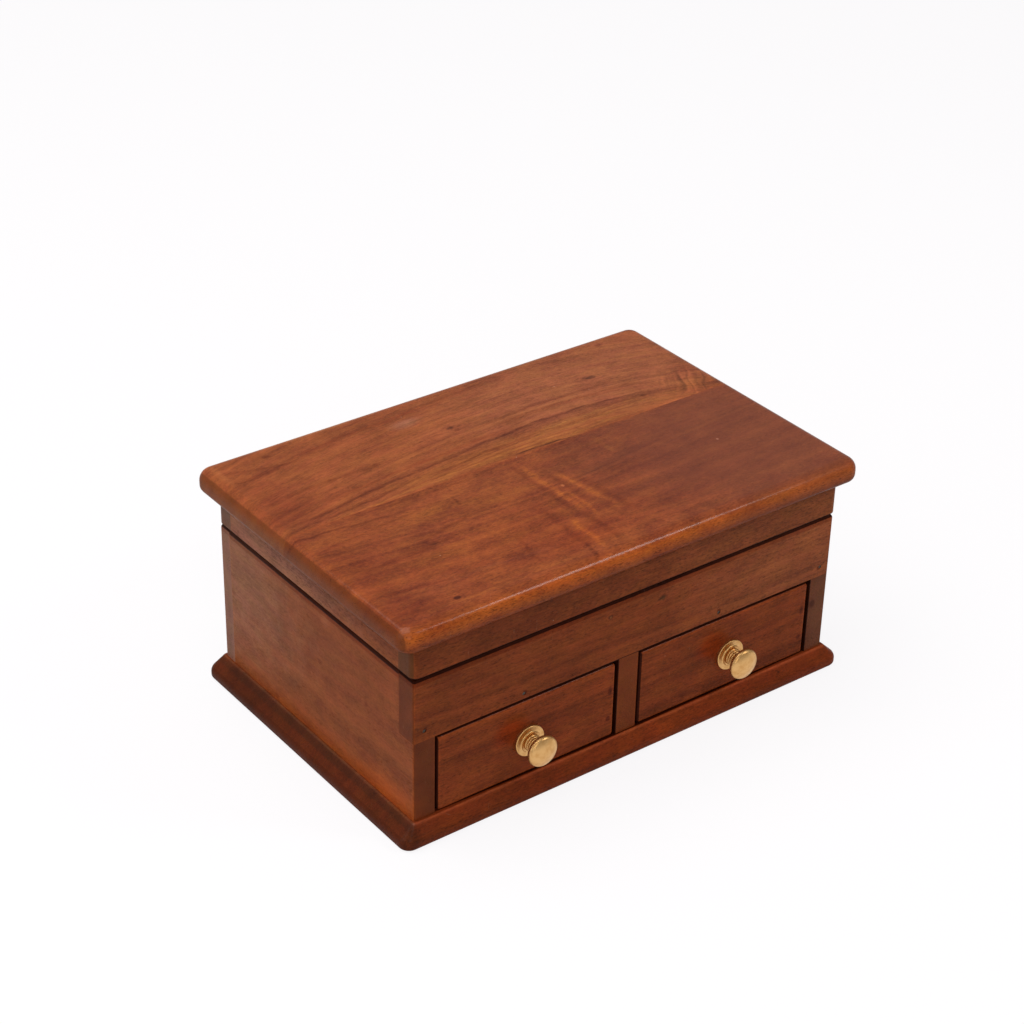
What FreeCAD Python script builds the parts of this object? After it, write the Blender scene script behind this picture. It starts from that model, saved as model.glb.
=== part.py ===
"""A lidded wooden box with two drawers, a top compartment and brass fittings.

Units are millimetres.  The origin is the centre of the base board's underside.
+X runs to the right along the front, -Y points out of the front, +Z is up.
The lid is modelled shut and both drawers are modelled shut.
"""
import FreeCAD
import Part
import math
import os

import Sketcher

POINT_TOLERANCE = 0.001   # mm
LEAST_CUT = 0.01          # cubic mm

# ---------------------------------------------------------------------------
# Driving dimensions
# ---------------------------------------------------------------------------

SIZES = [
    # carcass
    ("body_width", "239", "width over the two sides"),
    ("body_depth", "156.5", "from the front of the rail to the back of the back panel"),
    ("opening_height", "41", "height of the drawer openings"),
    ("rail_height", "32.5", "height of the rail above the drawers"),
    ("side_thickness", "11", "thickness of the two sides"),
    ("rail_thickness", "11", "thickness of the rail"),
    ("back_thickness", "8", "thickness of the back panel"),
    ("floor_thickness", "6", "thickness of the compartment floor"),
    ("divider_thickness", "11.5", "thickness of the upright between the drawers"),
    ("divider_offset", "-2.2", "the divider stands this far right of the middle"),
    ("arris_radius", "2", "rounding of the body's top edge"),
    ("corner_ease", "1", "rounding of the body's upright corners"),
    # base board
    ("base_thickness", "11.5", "thickness of the base board"),
    ("base_overhang_side", "8", "how far the base stands out at the sides"),
    ("base_overhang_front", "5.5", "how far the base stands out at front and back"),
    ("base_shoulder", "1.2", "flat left between the wall and the bevel"),
    ("base_edge_height", "5", "upright edge under the bevel, before rounding"),
    ("base_corner_radius", "5.5", "rounding of the base's corners in plan"),
    ("base_nose_radius", "4", "rounding where the bevel meets the upright edge"),
    ("base_edge_radius", "2", "rounding of the base's lower edge"),
    # lid
    ("lid_gap", "0.8", "gap between the shut lid and the body"),
    ("frame_height", "17", "height of the lid's frame"),
    ("frame_thickness", "11", "thickness of the lid's frame pieces"),
    ("frame_overhang", "0.8", "how far the lid's frame stands out at the front and the sides"),
    ("frame_corner_ease", "3.5", "rounding of the lid frame's upright corners"),
    ("frame_rim_ease", "0.8", "rounding of the lid frame's lower edge"),
    ("lid_thickness", "12", "thickness of the lid's top"),
    ("lid_overhang_side", "9", "how far the lid's top stands out at the sides"),
    ("lid_overhang_front", "6.5", "how far the lid's top stands out at front and back"),
    ("lid_joint_offset", "8", "the glue line lies this far behind the middle"),
    ("lid_corner_radius", "7", "rounding of the lid's corners in plan"),
    ("lid_top_radius", "6", "rounding of the lid's upper edge"),
    ("lid_bottom_radius", "4", "rounding of the lid's lower edge"),
    # drawers
    ("drawer_gap_side", "1.2", "gap beside a drawer front"),
    ("drawer_gap_top", "1.4", "gap above a drawer front"),
    ("drawer_gap_back", "3", "gap between a shut drawer and the back panel"),
    ("drawer_front_thickness", "10.5", "thickness of a drawer front"),
    ("drawer_front_lap", "5", "how far a drawer front laps the sides"),
    ("drawer_front_radius", "1.6", "rounding of a drawer front's edges"),
    ("drawer_corner_radius", "2", "rounding of a drawer front's four corners"),
    ("drawer_side_thickness", "5", "thickness of a drawer's sides and back"),
    ("drawer_side_drop", "2.5", "a drawer's sides stop this far below its front's top"),
    ("drawer_bottom_thickness", "3", "thickness of a drawer's bottom"),
    ("groove_height", "3", "height of the bottom's groove above the drawer's underside"),
    ("groove_depth", "2.5", "depth of the bottom's groove"),
    ("groove_play", "0.15", "play above the bottom in its groove"),
    # knobs
    ("knob_height", "18", "height of the knobs above the base board's top"),
    ("left_knob_offset", "0.3", "the left knob sits this far right of its drawer's middle"),
    ("right_knob_offset", "3.2", "the right knob sits this far right of its drawer's middle"),
    ("knob_projection", "13.6", "how far a knob stands out"),
    ("knob_flange_radius", "7.8", "radius of the knob's round foot"),
    ("knob_flange_thickness", "1.6", "thickness of the knob's foot"),
    ("knob_flange_round", "0.5", "rounding of the foot's rim"),
    ("knob_step", "0.8", "size of the hollow step between the foot and the neck"),
    ("knob_bead_radius", "4.2", "radius of the rings on the knob's neck"),
    ("knob_bead_length", "1.15", "length of a ring along the neck"),
    ("knob_bead_height", "0.35", "how far a ring stands out of the neck"),
    ("knob_bead_gap", "0.2", "space between two rings"),
    ("knob_neck_radius", "3.1", "radius of the knob's neck"),
    ("knob_cove_radius", "3.6", "hollow curve from the neck to the head"),
    ("knob_head_radius", "7.8", "radius of the knob's head"),
    ("knob_edge_inset", "1.3", "how far the head's edge rounds in"),
    ("knob_edge_height", "1.95", "length of the rounded edge in front of the widest place"),
    ("knob_dome_height", "1.55", "height of the dome on the head"),
    ("knob_screw_radius", "1.5", "radius of the screw that holds a knob"),
    ("knob_screw_reach", "7", "how far that screw goes into the knob"),
    ("screw_play", "0.25", "radial play of a screw in its through hole"),
    # hinges
    ("hinge_length", "30", "length of a hinge"),
    ("hinge_inset", "44", "distance from an end of the back panel to the middle of a hinge"),
    ("leaf_thickness", "1.2", "thickness of a hinge leaf"),
    ("leaf_depth", "6.4", "how far a leaf is let into the wood"),
    ("barrel_radius", "1.6", "radius of a hinge barrel"),
    ("barrel_standoff", "0.3", "air between the back panel and a barrel"),
    ("pin_radius", "0.7", "radius of a hinge pin"),
    ("pin_play", "0.04", "radial play of the pin in the lid's knuckle"),
    ("knuckle_length", "10", "length of the lid's knuckle"),
    ("knuckle_play", "0.2", "play at each end of the lid's knuckle and round a barrel"),
    ("heel_reach", "3.4", "how far a leaf's heel reaches behind the pin"),
    ("opening_angle", "100", "angle at which the two heels of a hinge meet"),
    # screws and nails
    ("hinge_screw_radius", "0.9", "radius of a hinge screw's shank"),
    ("hinge_screw_length", "7", "length of a hinge screw"),
    ("hinge_screw_spacing", "19", "distance between the two screws of a leaf"),
    ("base_screw_radius", "1.75", "radius of a base screw's shank"),
    ("base_screw_length", "25", "length of a base screw"),
    ("base_screw_sink", "1", "how far a base screw's head lies below the underside"),
    ("base_screw_inset", "28", "distance of the base screws from the body's front and back"),
    ("nail_radius", "0.9", "radius of a rail nail"),
    ("nail_length", "24", "length of a rail nail"),
    ("nail_sink", "0.3", "how far a nail's head lies below the surface"),
    ("end_nail_height", "5", "height of the rail's end nails above its lower edge"),
    ("left_floor_nail", "-61", "the left floor nail stands this far right of the middle"),
    ("right_floor_nail", "51", "the right floor nail stands this far right of the middle"),
]


class Size:
    """A length with its number and the spreadsheet formula that gives it."""

    def __init__(self, number, formula):
        self.number = number
        self.formula = formula

    def __add__(self, other):
        other = as_size(other)
        return Size(self.number + other.number, f"({self.formula} + {other.formula})")

    def __sub__(self, other):
        other = as_size(other)
        return Size(self.number - other.number, f"({self.formula} - {other.formula})")

    def __mul__(self, other):
        other = as_size(other)
        return Size(self.number * other.number, f"({self.formula} * {other.formula})")

    def __truediv__(self, other):
        other = as_size(other)
        return Size(self.number / other.number, f"({self.formula} / {other.formula})")

    def __neg__(self):
        return Size(-self.number, f"(0 - {self.formula})")

    __radd__ = __add__
    __rmul__ = __mul__

    def __rsub__(self, other):
        return as_size(other) - self


def as_size(value):
    """Turn a plain number into a Size, and leave a Size as it is."""
    if isinstance(value, Size):
        return value
    return Size(float(value), str(value))


document = FreeCAD.newDocument("TwoDrawerBox")
sheet = document.addObject("Spreadsheet::Sheet", "Sizes")
for row, (alias, number, meaning) in enumerate(SIZES, start=1):
    sheet.set(f"A{row}", meaning)
    sheet.set(f"B{row}", number)
    sheet.setAlias(f"B{row}", alias)
document.recompute()


def size(alias):
    """The driving dimension with this name."""
    return Size(float(sheet.get(alias)), f"Sizes.{alias}")


def sine(angle):
    """Sine of an angle in degrees."""
    return Size(math.sin(math.radians(angle.number)), f"sin({angle.formula})")


def cosine(angle):
    """Cosine of an angle in degrees."""
    return Size(math.cos(math.radians(angle.number)), f"cos({angle.formula})")


# ---------------------------------------------------------------------------
# Sizes that several pieces share
# ---------------------------------------------------------------------------

body_width = size("body_width")
half_width = body_width / 2
half_depth = size("body_depth") / 2
side_thickness = size("side_thickness")
rail_thickness = size("rail_thickness")
back_thickness = size("back_thickness")
opening_height = size("opening_height")
arris_radius = size("arris_radius")
corner_ease = size("corner_ease")

base_top = size("base_thickness")
rail_bottom = base_top + opening_height
body_top = rail_bottom + size("rail_height")
frame_bottom = body_top + size("lid_gap")
lid_bottom = frame_bottom + size("frame_height")

front_face = -half_depth
back_face = half_depth
panel_face = back_face - back_thickness
divider_left = size("divider_offset") - size("divider_thickness") / 2
divider_right = divider_left + size("divider_thickness")
inner_left = side_thickness - half_width
inner_right = half_width - side_thickness

subparts = []


# ---------------------------------------------------------------------------
# Helpers: bodies, sketches and features
# ---------------------------------------------------------------------------

def bind(thing, prop, length):
    """Let a spreadsheet formula drive a property."""
    thing.setExpression(prop, as_size(length).formula)


def place(thing, x, y, z):
    """Put a sub-part at its place in the box."""
    for letter, distance in zip("xyz", (x, y, z)):
        bind(thing, f"Placement.Base.{letter}", distance)


def empty_body(name):
    """A body with nothing in it yet."""
    body = document.addObject("PartDesign::Body", name)
    body.Label = name
    return body


def new_body(name, place_at):
    """An empty body that becomes the sub-part of this name."""
    body = empty_body(name)
    place(body, *place_at)
    subparts.append(body)
    return body


def new_sketch(body, name, plane, lift=0):
    """A sketch on one of the body's own origin planes, lifted along its normal."""
    sketch = body.newObject("Sketcher::SketchObject", name)
    planes = [item for item in body.Origin.OriginFeatures if item.Role == f"{plane}_Plane"]
    sketch.AttachmentSupport = [(planes[0], "")]
    sketch.MapMode = "FlatFace"
    bind(sketch, "AttachmentOffset.Base.z", lift)
    return sketch


def pin_point(sketch, geometry, end, x, y):
    """Hold a point at its two distances from the sketch's origin."""
    for kind, distance in (("DistanceX", as_size(x)), ("DistanceY", as_size(y))):
        index = sketch.addConstraint(Sketcher.Constraint(kind, geometry, end, distance.number))
        sketch.setExpression(f"Constraints[{index}]", distance.formula)


def arc_between(start, end, radius, bulge):
    """The circle arc from start to end that bulges to the left (+1) or the right (-1)."""
    chord = end - start
    rise = math.sqrt(radius ** 2 - (chord.Length / 2) ** 2)
    left = FreeCAD.Vector(-chord.y, chord.x, 0).normalize()
    centre = start + chord * 0.5 - left * (bulge * rise)
    first, last = (end, start) if bulge > 0 else (start, end)
    first_angle = math.atan2(first.y - centre.y, first.x - centre.x)
    last_angle = math.atan2(last.y - centre.y, last.x - centre.x)
    if last_angle < first_angle:
        last_angle += 2 * math.pi
    whole = Part.Circle(centre, FreeCAD.Vector(0, 0, 1), radius)
    return Part.ArcOfCircle(whole, first_angle, last_angle)


def outline(sketch, points, bends=()):
    """A closed line through the points.

    bends names the stretches that are arcs: the number of the point where the arc
    starts, its radius, and the side to which it bulges.
    """
    bends = {start: (radius, bulge) for start, radius, bulge in bends}
    corners = [FreeCAD.Vector(as_size(x).number, as_size(y).number, 0) for x, y in points]
    ends = []
    for index, start in enumerate(corners):
        end = corners[(index + 1) % len(corners)]
        if index in bends:
            radius, bulge = bends[index]
            sketch.addGeometry(arc_between(start, end, radius.number, bulge), False)
            held = sketch.addConstraint(Sketcher.Constraint("Radius", index, radius.number))
            sketch.setExpression(f"Constraints[{held}]", radius.formula)
        else:
            sketch.addGeometry(Part.LineSegment(start, end), False)
        runs_back = sketch.Geometry[index].StartPoint.distanceToPoint(start) > POINT_TOLERANCE
        ends.append((2, 1) if runs_back else (1, 2))
    for index, (first, last) in enumerate(ends):
        following = (index + 1) % len(ends)
        joined = Sketcher.Constraint("Coincident", index, last, following, ends[following][0])
        sketch.addConstraint(joined)
        pin_point(sketch, index, first, *points[index])


def rectangle(sketch, low, high):
    """A rectangle between two corners."""
    outline(sketch, [low, (high[0], low[1]), high, (low[0], high[1])])


def rounded_rectangle(sketch, half_x, half_y, radius):
    """A rectangle about the sketch's origin with four round corners."""
    flat_x = half_x - radius
    flat_y = half_y - radius
    points = [
        (-flat_x, -half_y), (flat_x, -half_y), (half_x, -flat_y), (half_x, flat_y),
        (flat_x, half_y), (-flat_x, half_y), (-half_x, flat_y), (-half_x, -flat_y),
    ]
    outline(sketch, points, [(corner, radius, -1) for corner in (1, 3, 5, 7)])


def circle(sketch, x, y, radius):
    """A circle at a pinned centre."""
    radius = as_size(radius)
    centre = FreeCAD.Vector(as_size(x).number, as_size(y).number, 0)
    index = sketch.addGeometry(Part.Circle(centre, FreeCAD.Vector(0, 0, 1), radius.number), False)
    held = sketch.addConstraint(Sketcher.Constraint("Radius", index, radius.number))
    sketch.setExpression(f"Constraints[{held}]", radius.formula)
    pin_point(sketch, index, 3, x, y)


def grow(body, kind, sketch, length, backwards=False, both_ways=False):
    """A Pad or Pocket of this length; a Pocket has to take material away."""
    volume_before = body.Shape.Volume if kind == "Pocket" else 0
    feature = body.newObject(f"PartDesign::{kind}", f"{body.Label}_{kind}")
    feature.Profile = sketch
    feature.Reversed = backwards
    feature.SideType = "Symmetric" if both_ways else "One side"
    bind(feature, "Length", length)
    document.recompute()
    if kind == "Pocket" and body.Shape.Volume > volume_before - LEAST_CUT:
        raise ValueError(f"{feature.Label} cuts nothing")
    return feature


def edges_in(feature, **planes):
    """Names of the edges that lie in all the given planes, such as x=0, z=12."""
    found = []
    for number, edge in enumerate(feature.Shape.Edges, start=1):
        box = edge.BoundBox
        reach = {"x": (box.XMin, box.XMax), "y": (box.YMin, box.YMax), "z": (box.ZMin, box.ZMax)}
        lies_in = [
            abs(limit - as_size(value).number) < POINT_TOLERANCE
            for letter, value in planes.items() for limit in reach[letter]
        ]
        if all(lies_in):
            found.append(f"Edge{number}")
    return found


def round_mouth(feature, x, y, z, radius):
    """Name of the round edge of this radius about this centre."""
    centre = FreeCAD.Vector(*[as_size(distance).number for distance in (x, y, z)])
    for number, edge in enumerate(feature.Shape.Edges, start=1):
        if not isinstance(edge.Curve, Part.Circle):
            continue
        off_centre = edge.Curve.Center.distanceToPoint(centre)
        if max(off_centre, abs(edge.Curve.Radius - radius.number)) < POINT_TOLERANCE:
            return f"Edge{number}"
    raise ValueError(f"{feature.Label} has no such round edge")


def round_edges(body, edges, radius):
    """Round the named edges of the body's latest feature."""
    feature = body.newObject("PartDesign::Fillet", f"{body.Label}_Fillet")
    feature.Base = (body.Group[-2], sorted(set(edges)))
    bind(feature, "Radius", radius)
    document.recompute()
    return feature


def turn(body, plane, points, bends=()):
    """Turn a half section of (radius, height) points about the plane's upright axis."""
    section = new_sketch(body, f"{body.Label}_section", plane)
    outline(section, points, bends)
    turned = body.newObject("PartDesign::Revolution", f"{body.Label}_turning")
    turned.Profile = section
    turned.ReferenceAxis = (section, ["V_Axis"])
    turned.Angle = 360
    document.recompute()


def cut_slot(body, plane, reach, width, depth, lift=0, backwards=False):
    """A screwdriver slot straight across a screw's head."""
    sketch = new_sketch(body, f"{body.Label}_slot", plane, lift)
    rectangle(sketch, (-reach, -width / 2), (reach, width / 2))
    grow(body, "Pocket", sketch, depth, backwards)


def board(name, low, high):
    """A plain board between two corners of the box's frame, with its own origin at the low one."""
    body = new_body(name, low)
    extent = [as_size(far) - near for near, far in zip(low, high)]
    sketch = new_sketch(body, f"{name}_plan", "XY")
    rectangle(sketch, (0, 0), (extent[0], extent[1]))
    grow(body, "Pad", sketch, extent[2])
    return body


def drill(body, plane, x, y, radius, length, lift=0, backwards=False):
    """A round hole, square to one of the body's planes."""
    sketch = new_sketch(body, f"{body.Label}_hole", plane, lift)
    circle(sketch, x, y, radius)
    return grow(body, "Pocket", sketch, length, backwards)


def cut_box(body, low, high):
    """Cut a rectangular space, in the body's own frame, from low z up to high z."""
    sketch = new_sketch(body, f"{body.Label}_cut", "XY", low[2])
    rectangle(sketch, (low[0], low[1]), (high[0], high[1]))
    return grow(body, "Pocket", sketch, as_size(high[2]) - low[2], backwards=True)


# ---------------------------------------------------------------------------
# Screws and nails: each group of equal fasteners is one sub-part
# ---------------------------------------------------------------------------

HEAD_SHARE = 2.0      # radius of a screw's head, in shank radii
POINT_SHARE = 2.0     # length of a fastener's point, in shank radii
SLOT_SHARE = 0.5      # width and depth of a screw's slot, in shank radii


def countersunk_screw(name, radius, length):
    """A wood screw with a 90 degree slotted head, driven towards +Z from its head's face."""
    body = empty_body(name)
    head_radius = radius * HEAD_SHARE
    thread_end = length - radius * POINT_SHARE
    points = [(0, 0), (head_radius, 0), (radius, head_radius - radius), (radius, thread_end), (0, length)]
    turn(body, "XZ", points)
    cut_slot(body, "XY", head_radius, radius * SLOT_SHARE, radius * SLOT_SHARE, backwards=True)
    return body


def panel_nail(name, radius, length):
    """A headless nail with a blunt point, driven towards +Z from its top."""
    body = empty_body(name)
    shank_end = length - radius * POINT_SHARE
    turn(body, "XZ", [(0, 0), (radius, 0), (radius, shank_end), (radius / 2, length), (0, length)])
    return body


def fastener_group(name, fastener, spots, direction):
    """Links to one fastener as one sub-part, each driven from its spot along the direction."""
    aim = FreeCAD.Rotation(FreeCAD.Vector(0, 0, 1), FreeCAD.Vector(*direction))
    links = []
    for spot in spots:
        link = document.addObject("App::Link", f"{name}_link")
        link.LinkedObject = fastener
        link.Placement = FreeCAD.Placement(FreeCAD.Vector(), aim)
        place(link, *spot)
        links.append(link)
    group = document.addObject("Part::Compound", name)
    group.Label = name
    group.Links = links
    subparts.append(group)


# ---------------------------------------------------------------------------
# Base board: one board, bevelled all round
# ---------------------------------------------------------------------------

base_half_x = half_width + size("base_overhang_side")
base_half_y = half_depth + size("base_overhang_front")
edge_height = size("base_edge_height")
base_screw_radius = size("base_screw_radius")
base_screw_start = size("base_screw_sink")
base_screw_y = half_depth - size("base_screw_inset")
base_screw_grip = base_screw_start + size("base_screw_length") - base_top
side_middle = half_width - side_thickness / 2


def make_base_board():
    """The moulded foot of the box, with clearance holes and sinks for its screws."""
    body = new_body("base_board", (0, 0, 0))
    plan = new_sketch(body, "base_board_plan", "XY")
    rounded_rectangle(plan, base_half_x, base_half_y, size("base_corner_radius"))
    grow(body, "Pad", plan, edge_height)

    foot = new_sketch(body, "bevel_foot", "XY", edge_height)
    rounded_rectangle(foot, base_half_x, base_half_y, size("base_corner_radius"))
    brow = new_sketch(body, "bevel_brow", "XY", base_top)
    shoulder = size("base_shoulder")
    rounded_rectangle(brow, half_width + shoulder, half_depth + shoulder, shoulder)
    bevel = body.newObject("PartDesign::AdditiveLoft", "base_board_bevel")
    bevel.Profile = foot
    bevel.Sections = [brow]
    bevel.Ruled = True
    document.recompute()
    round_edges(body, edges_in(body.Tip, z=edge_height), size("base_nose_radius"))
    round_edges(body, edges_in(body.Tip, z=0), size("base_edge_radius"))

    hole = base_screw_radius + size("screw_play")
    sink = base_screw_radius * HEAD_SHARE + size("screw_play")
    sink_depth = base_screw_start + base_screw_radius * (HEAD_SHARE - 1)
    for x, y in base_screw_spots:
        drill(body, "XY", x, y, hole, base_top, backwards=True)
        drill(body, "XY", x, y, sink, sink_depth, backwards=True)


base_screw_spots = [
    (x, y)
    for x in (-side_middle, size("divider_offset"), side_middle)
    for y in (-base_screw_y, base_screw_y)
]
make_base_board()
base_screw = countersunk_screw("base_screw", base_screw_radius, size("base_screw_length"))
fastener_group(
    "base_screws", base_screw, [(x, y, base_screw_start) for x, y in base_screw_spots], (0, 0, 1)
)


# ---------------------------------------------------------------------------
# Carcass: sides, rail, back, divider and floor
# ---------------------------------------------------------------------------

nail_radius = size("nail_radius")
nail_reach = size("nail_sink") + size("nail_length")
end_nail_line = rail_bottom + size("end_nail_height")
floor_nail_line = rail_bottom + size("floor_thickness") / 2
floor_nails = (size("left_floor_nail"), size("right_floor_nail"))
rail_nail_spots = [(-side_middle, end_nail_line), (side_middle, end_nail_line)]
rail_nail_spots += [(x, floor_nail_line) for x in floor_nails]

hinge_middles = (size("hinge_inset") - half_width, half_width - size("hinge_inset"))
half_hinge = size("hinge_length") / 2
leaf_thickness = size("leaf_thickness")
leaf_depth = size("leaf_depth")
hinge_screw_radius = size("hinge_screw_radius")
hinge_screw_x = size("hinge_screw_spacing") / 2
hinge_screw_y = leaf_depth / 2
hinge_screw_length = size("hinge_screw_length")


def make_side(name, x_low, outer_x):
    """An upright side with a notch for the rail; outer_x is its outer face in its own frame."""
    body = board(name, (x_low, front_face, base_top), (x_low + side_thickness, panel_face, body_top))
    height = body_top - base_top
    round_edges(body, edges_in(body.Tip, x=outer_x, z=height), arris_radius)
    round_edges(body, edges_in(body.Tip, x=outer_x, y=0), corner_ease)
    cut_box(body, (0, 0, opening_height), (side_thickness, rail_thickness, height))
    drill(body, "XZ", side_thickness / 2, end_nail_line - base_top, nail_radius, nail_reach)
    for y in (-base_screw_y, base_screw_y):
        drill(body, "XY", side_thickness / 2, y - front_face, base_screw_radius, base_screw_grip,
              backwards=True)


def round_outside(body, width, outer_y, inner_y, rim_z, ease=corner_ease, rim_ease=arris_radius):
    """Ease a full-width piece: its two upright outer corners, then its rim but for the inner edge."""
    corners = edges_in(body.Tip, x=0, y=outer_y) + edges_in(body.Tip, x=width, y=outer_y)
    round_edges(body, corners, ease)
    inner_edge = edges_in(body.Tip, y=inner_y, z=rim_z)
    rim = [edge for edge in edges_in(body.Tip, z=rim_z) if edge not in inner_edge]
    round_edges(body, rim, rim_ease)


def cut_hinge_beds(body, origin_x, outer_y, wood_z, inward):
    """Beds for the two hinge leaves, with pilot holes; inward is the way into the wood."""
    for middle in hinge_middles:
        x = middle - origin_x
        bed_floor = wood_z + leaf_thickness * inward
        low_z, high_z = (bed_floor, wood_z) if inward < 0 else (wood_z, bed_floor)
        cut_box(body, (x - half_hinge, outer_y - leaf_depth, low_z), (x + half_hinge, outer_y, high_z))
        for screw_x in (x - hinge_screw_x, x + hinge_screw_x):
            drill(body, "XY", screw_x, outer_y - hinge_screw_y, hinge_screw_radius,
                  hinge_screw_length, wood_z, backwards=inward > 0)


def make_front_rail():
    """The board above the drawers; it laps the notches of both sides."""
    low = (-half_width, front_face, rail_bottom)
    body = board("front_rail", low, (half_width, front_face + rail_thickness, body_top))
    round_outside(body, body_width, 0, rail_thickness, body_top - rail_bottom)
    for x, z in rail_nail_spots:
        drill(body, "XZ", x + half_width, z - rail_bottom, nail_radius, rail_thickness)


def make_back_panel():
    """The full-width back; it laps the rear edges of both sides and carries the hinges."""
    body = board("back_panel", (-half_width, panel_face, base_top), (half_width, back_face, body_top))
    height = body_top - base_top
    round_outside(body, body_width, back_thickness, 0, height)
    cut_hinge_beds(body, -half_width, back_thickness, height, -1)


def make_divider():
    """The upright between the drawers, flush with the front."""
    high = (divider_right, panel_face, rail_bottom)
    body = board("drawer_divider", (divider_left, front_face, base_top), high)
    for y in (-base_screw_y, base_screw_y):
        drill(body, "XY", size("divider_thickness") / 2, y - front_face, base_screw_radius,
              base_screw_grip, backwards=True)


def make_compartment_floor():
    """The floor of the top compartment, nailed through the rail at its front edge."""
    front_edge = front_face + rail_thickness
    high = (inner_right, panel_face, rail_bottom + size("floor_thickness"))
    body = board("compartment_floor", (inner_left, front_edge, rail_bottom), high)
    nail_z = floor_nail_line - rail_bottom
    for x in floor_nails:
        drill(body, "XZ", x - inner_left, nail_z, nail_radius, nail_reach - rail_thickness)


make_side("side_left", -half_width, 0)
make_side("side_right", inner_right, side_thickness)
make_front_rail()
make_back_panel()
make_divider()
make_compartment_floor()
rail_nail = panel_nail("rail_nail", nail_radius, size("nail_length"))
nail_starts = [(x, front_face + size("nail_sink"), z) for x, z in rail_nail_spots]
fastener_group("rail_nails", rail_nail, nail_starts, (0, 1, 0))


# ---------------------------------------------------------------------------
# Lid: two boards glued edge to edge on a frame of four pieces
# ---------------------------------------------------------------------------

lid_half_x = half_width + size("lid_overhang_side")
lid_half_y = half_depth + size("lid_overhang_front")
lid_joint = size("lid_joint_offset")
frame_thickness = size("frame_thickness")
frame_height = size("frame_height")
frame_half_x = half_width + size("frame_overhang")
frame_front = front_face - size("frame_overhang")


def make_lid_board(name, low_y, high_y, outer_y, joint_y):
    """One of the two boards of the lid's top; joint_y is its glued edge in its own frame."""
    low = (-lid_half_x, low_y, lid_bottom)
    body = board(name, low, (lid_half_x, high_y, lid_bottom + size("lid_thickness")))
    width = lid_half_x * 2
    corners = edges_in(body.Tip, x=0, y=outer_y) + edges_in(body.Tip, x=width, y=outer_y)
    round_edges(body, corners, size("lid_corner_radius"))
    for rim_z, radius in ((size("lid_thickness"), size("lid_top_radius")), (0, size("lid_bottom_radius"))):
        joint_edge = edges_in(body.Tip, y=joint_y, z=rim_z)
        rim = [edge for edge in edges_in(body.Tip, z=rim_z) if edge not in joint_edge]
        round_edges(body, rim, radius)


def make_lid_frame():
    """The lid's rim: front and back run the full width, the end pieces fit between them."""
    rim_ease = size("frame_rim_ease")
    for name, outer, inner in (("lid_frame_front", frame_front, 1), ("lid_frame_back", back_face, -1)):
        low_y = outer if inner > 0 else outer - frame_thickness
        low = (-frame_half_x, low_y, frame_bottom)
        body = board(name, low, (frame_half_x, low_y + frame_thickness, lid_bottom))
        outer_y, inner_y = (0, frame_thickness) if inner > 0 else (frame_thickness, 0)
        round_outside(body, frame_half_x * 2, outer_y, inner_y, 0, size("frame_corner_ease"), rim_ease)
        if name == "lid_frame_back":
            cut_hinge_beds(body, -frame_half_x, frame_thickness, 0, 1)
    right_low = frame_half_x - frame_thickness
    for name, low_x, outer_x in (
        ("lid_frame_left", -frame_half_x, 0), ("lid_frame_right", right_low, frame_thickness)
    ):
        low = (low_x, frame_front + frame_thickness, frame_bottom)
        body = board(name, low, (low_x + frame_thickness, back_face - frame_thickness, lid_bottom))
        round_edges(body, edges_in(body.Tip, x=outer_x, z=0), rim_ease)


make_lid_board("lid_top_front_board", -lid_half_y, lid_joint, 0, lid_half_y + lid_joint)
make_lid_board("lid_top_rear_board", lid_joint, lid_half_y, lid_half_y - lid_joint, 0)
make_lid_frame()


# ---------------------------------------------------------------------------
# Hinges: brass butt hinges whose heels meet and hold the open lid
# ---------------------------------------------------------------------------

barrel_radius = size("barrel_radius")
pin_radius = size("pin_radius")
knuckle_play = size("knuckle_play")
half_knuckle = size("knuckle_length") / 2
pin_y = back_face + size("barrel_standoff") + barrel_radius
pin_z = body_top + size("lid_gap") / 2
half_gap = size("lid_gap") / 2
heel_angle = size("opening_angle") / 2


def leaf_profile(up):
    """Outline of a leaf and its heel in the plane across the pin, for a leaf above (+1) or below (-1)."""
    reach = size("heel_reach")
    cos_heel = cosine(heel_angle)
    sin_heel = sine(heel_angle)
    flat = half_gap
    far = half_gap + leaf_thickness
    inner_end = pin_y - back_face + leaf_depth
    points = [
        (-inner_end, flat),
        (flat * cos_heel / sin_heel, flat),
        (reach * cos_heel, reach * sin_heel),
        (reach * cos_heel - leaf_thickness * sin_heel, reach * sin_heel + leaf_thickness * cos_heel),
        ((far * cos_heel - leaf_thickness) / sin_heel, far),
        (-inner_end, far),
    ]
    return [(y, z * up) for y, z in points]


def cross_section(body, kind, radius, start, length, both_ways=False):
    """A round Pad or Pocket about the pin's axis, from start along the pin."""
    sketch = new_sketch(body, f"{body.Label}_round", "YZ", start)
    circle(sketch, 0, 0, radius)
    grow(body, kind, sketch, length, backwards=kind == "Pocket" and not both_ways, both_ways=both_ways)


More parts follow.
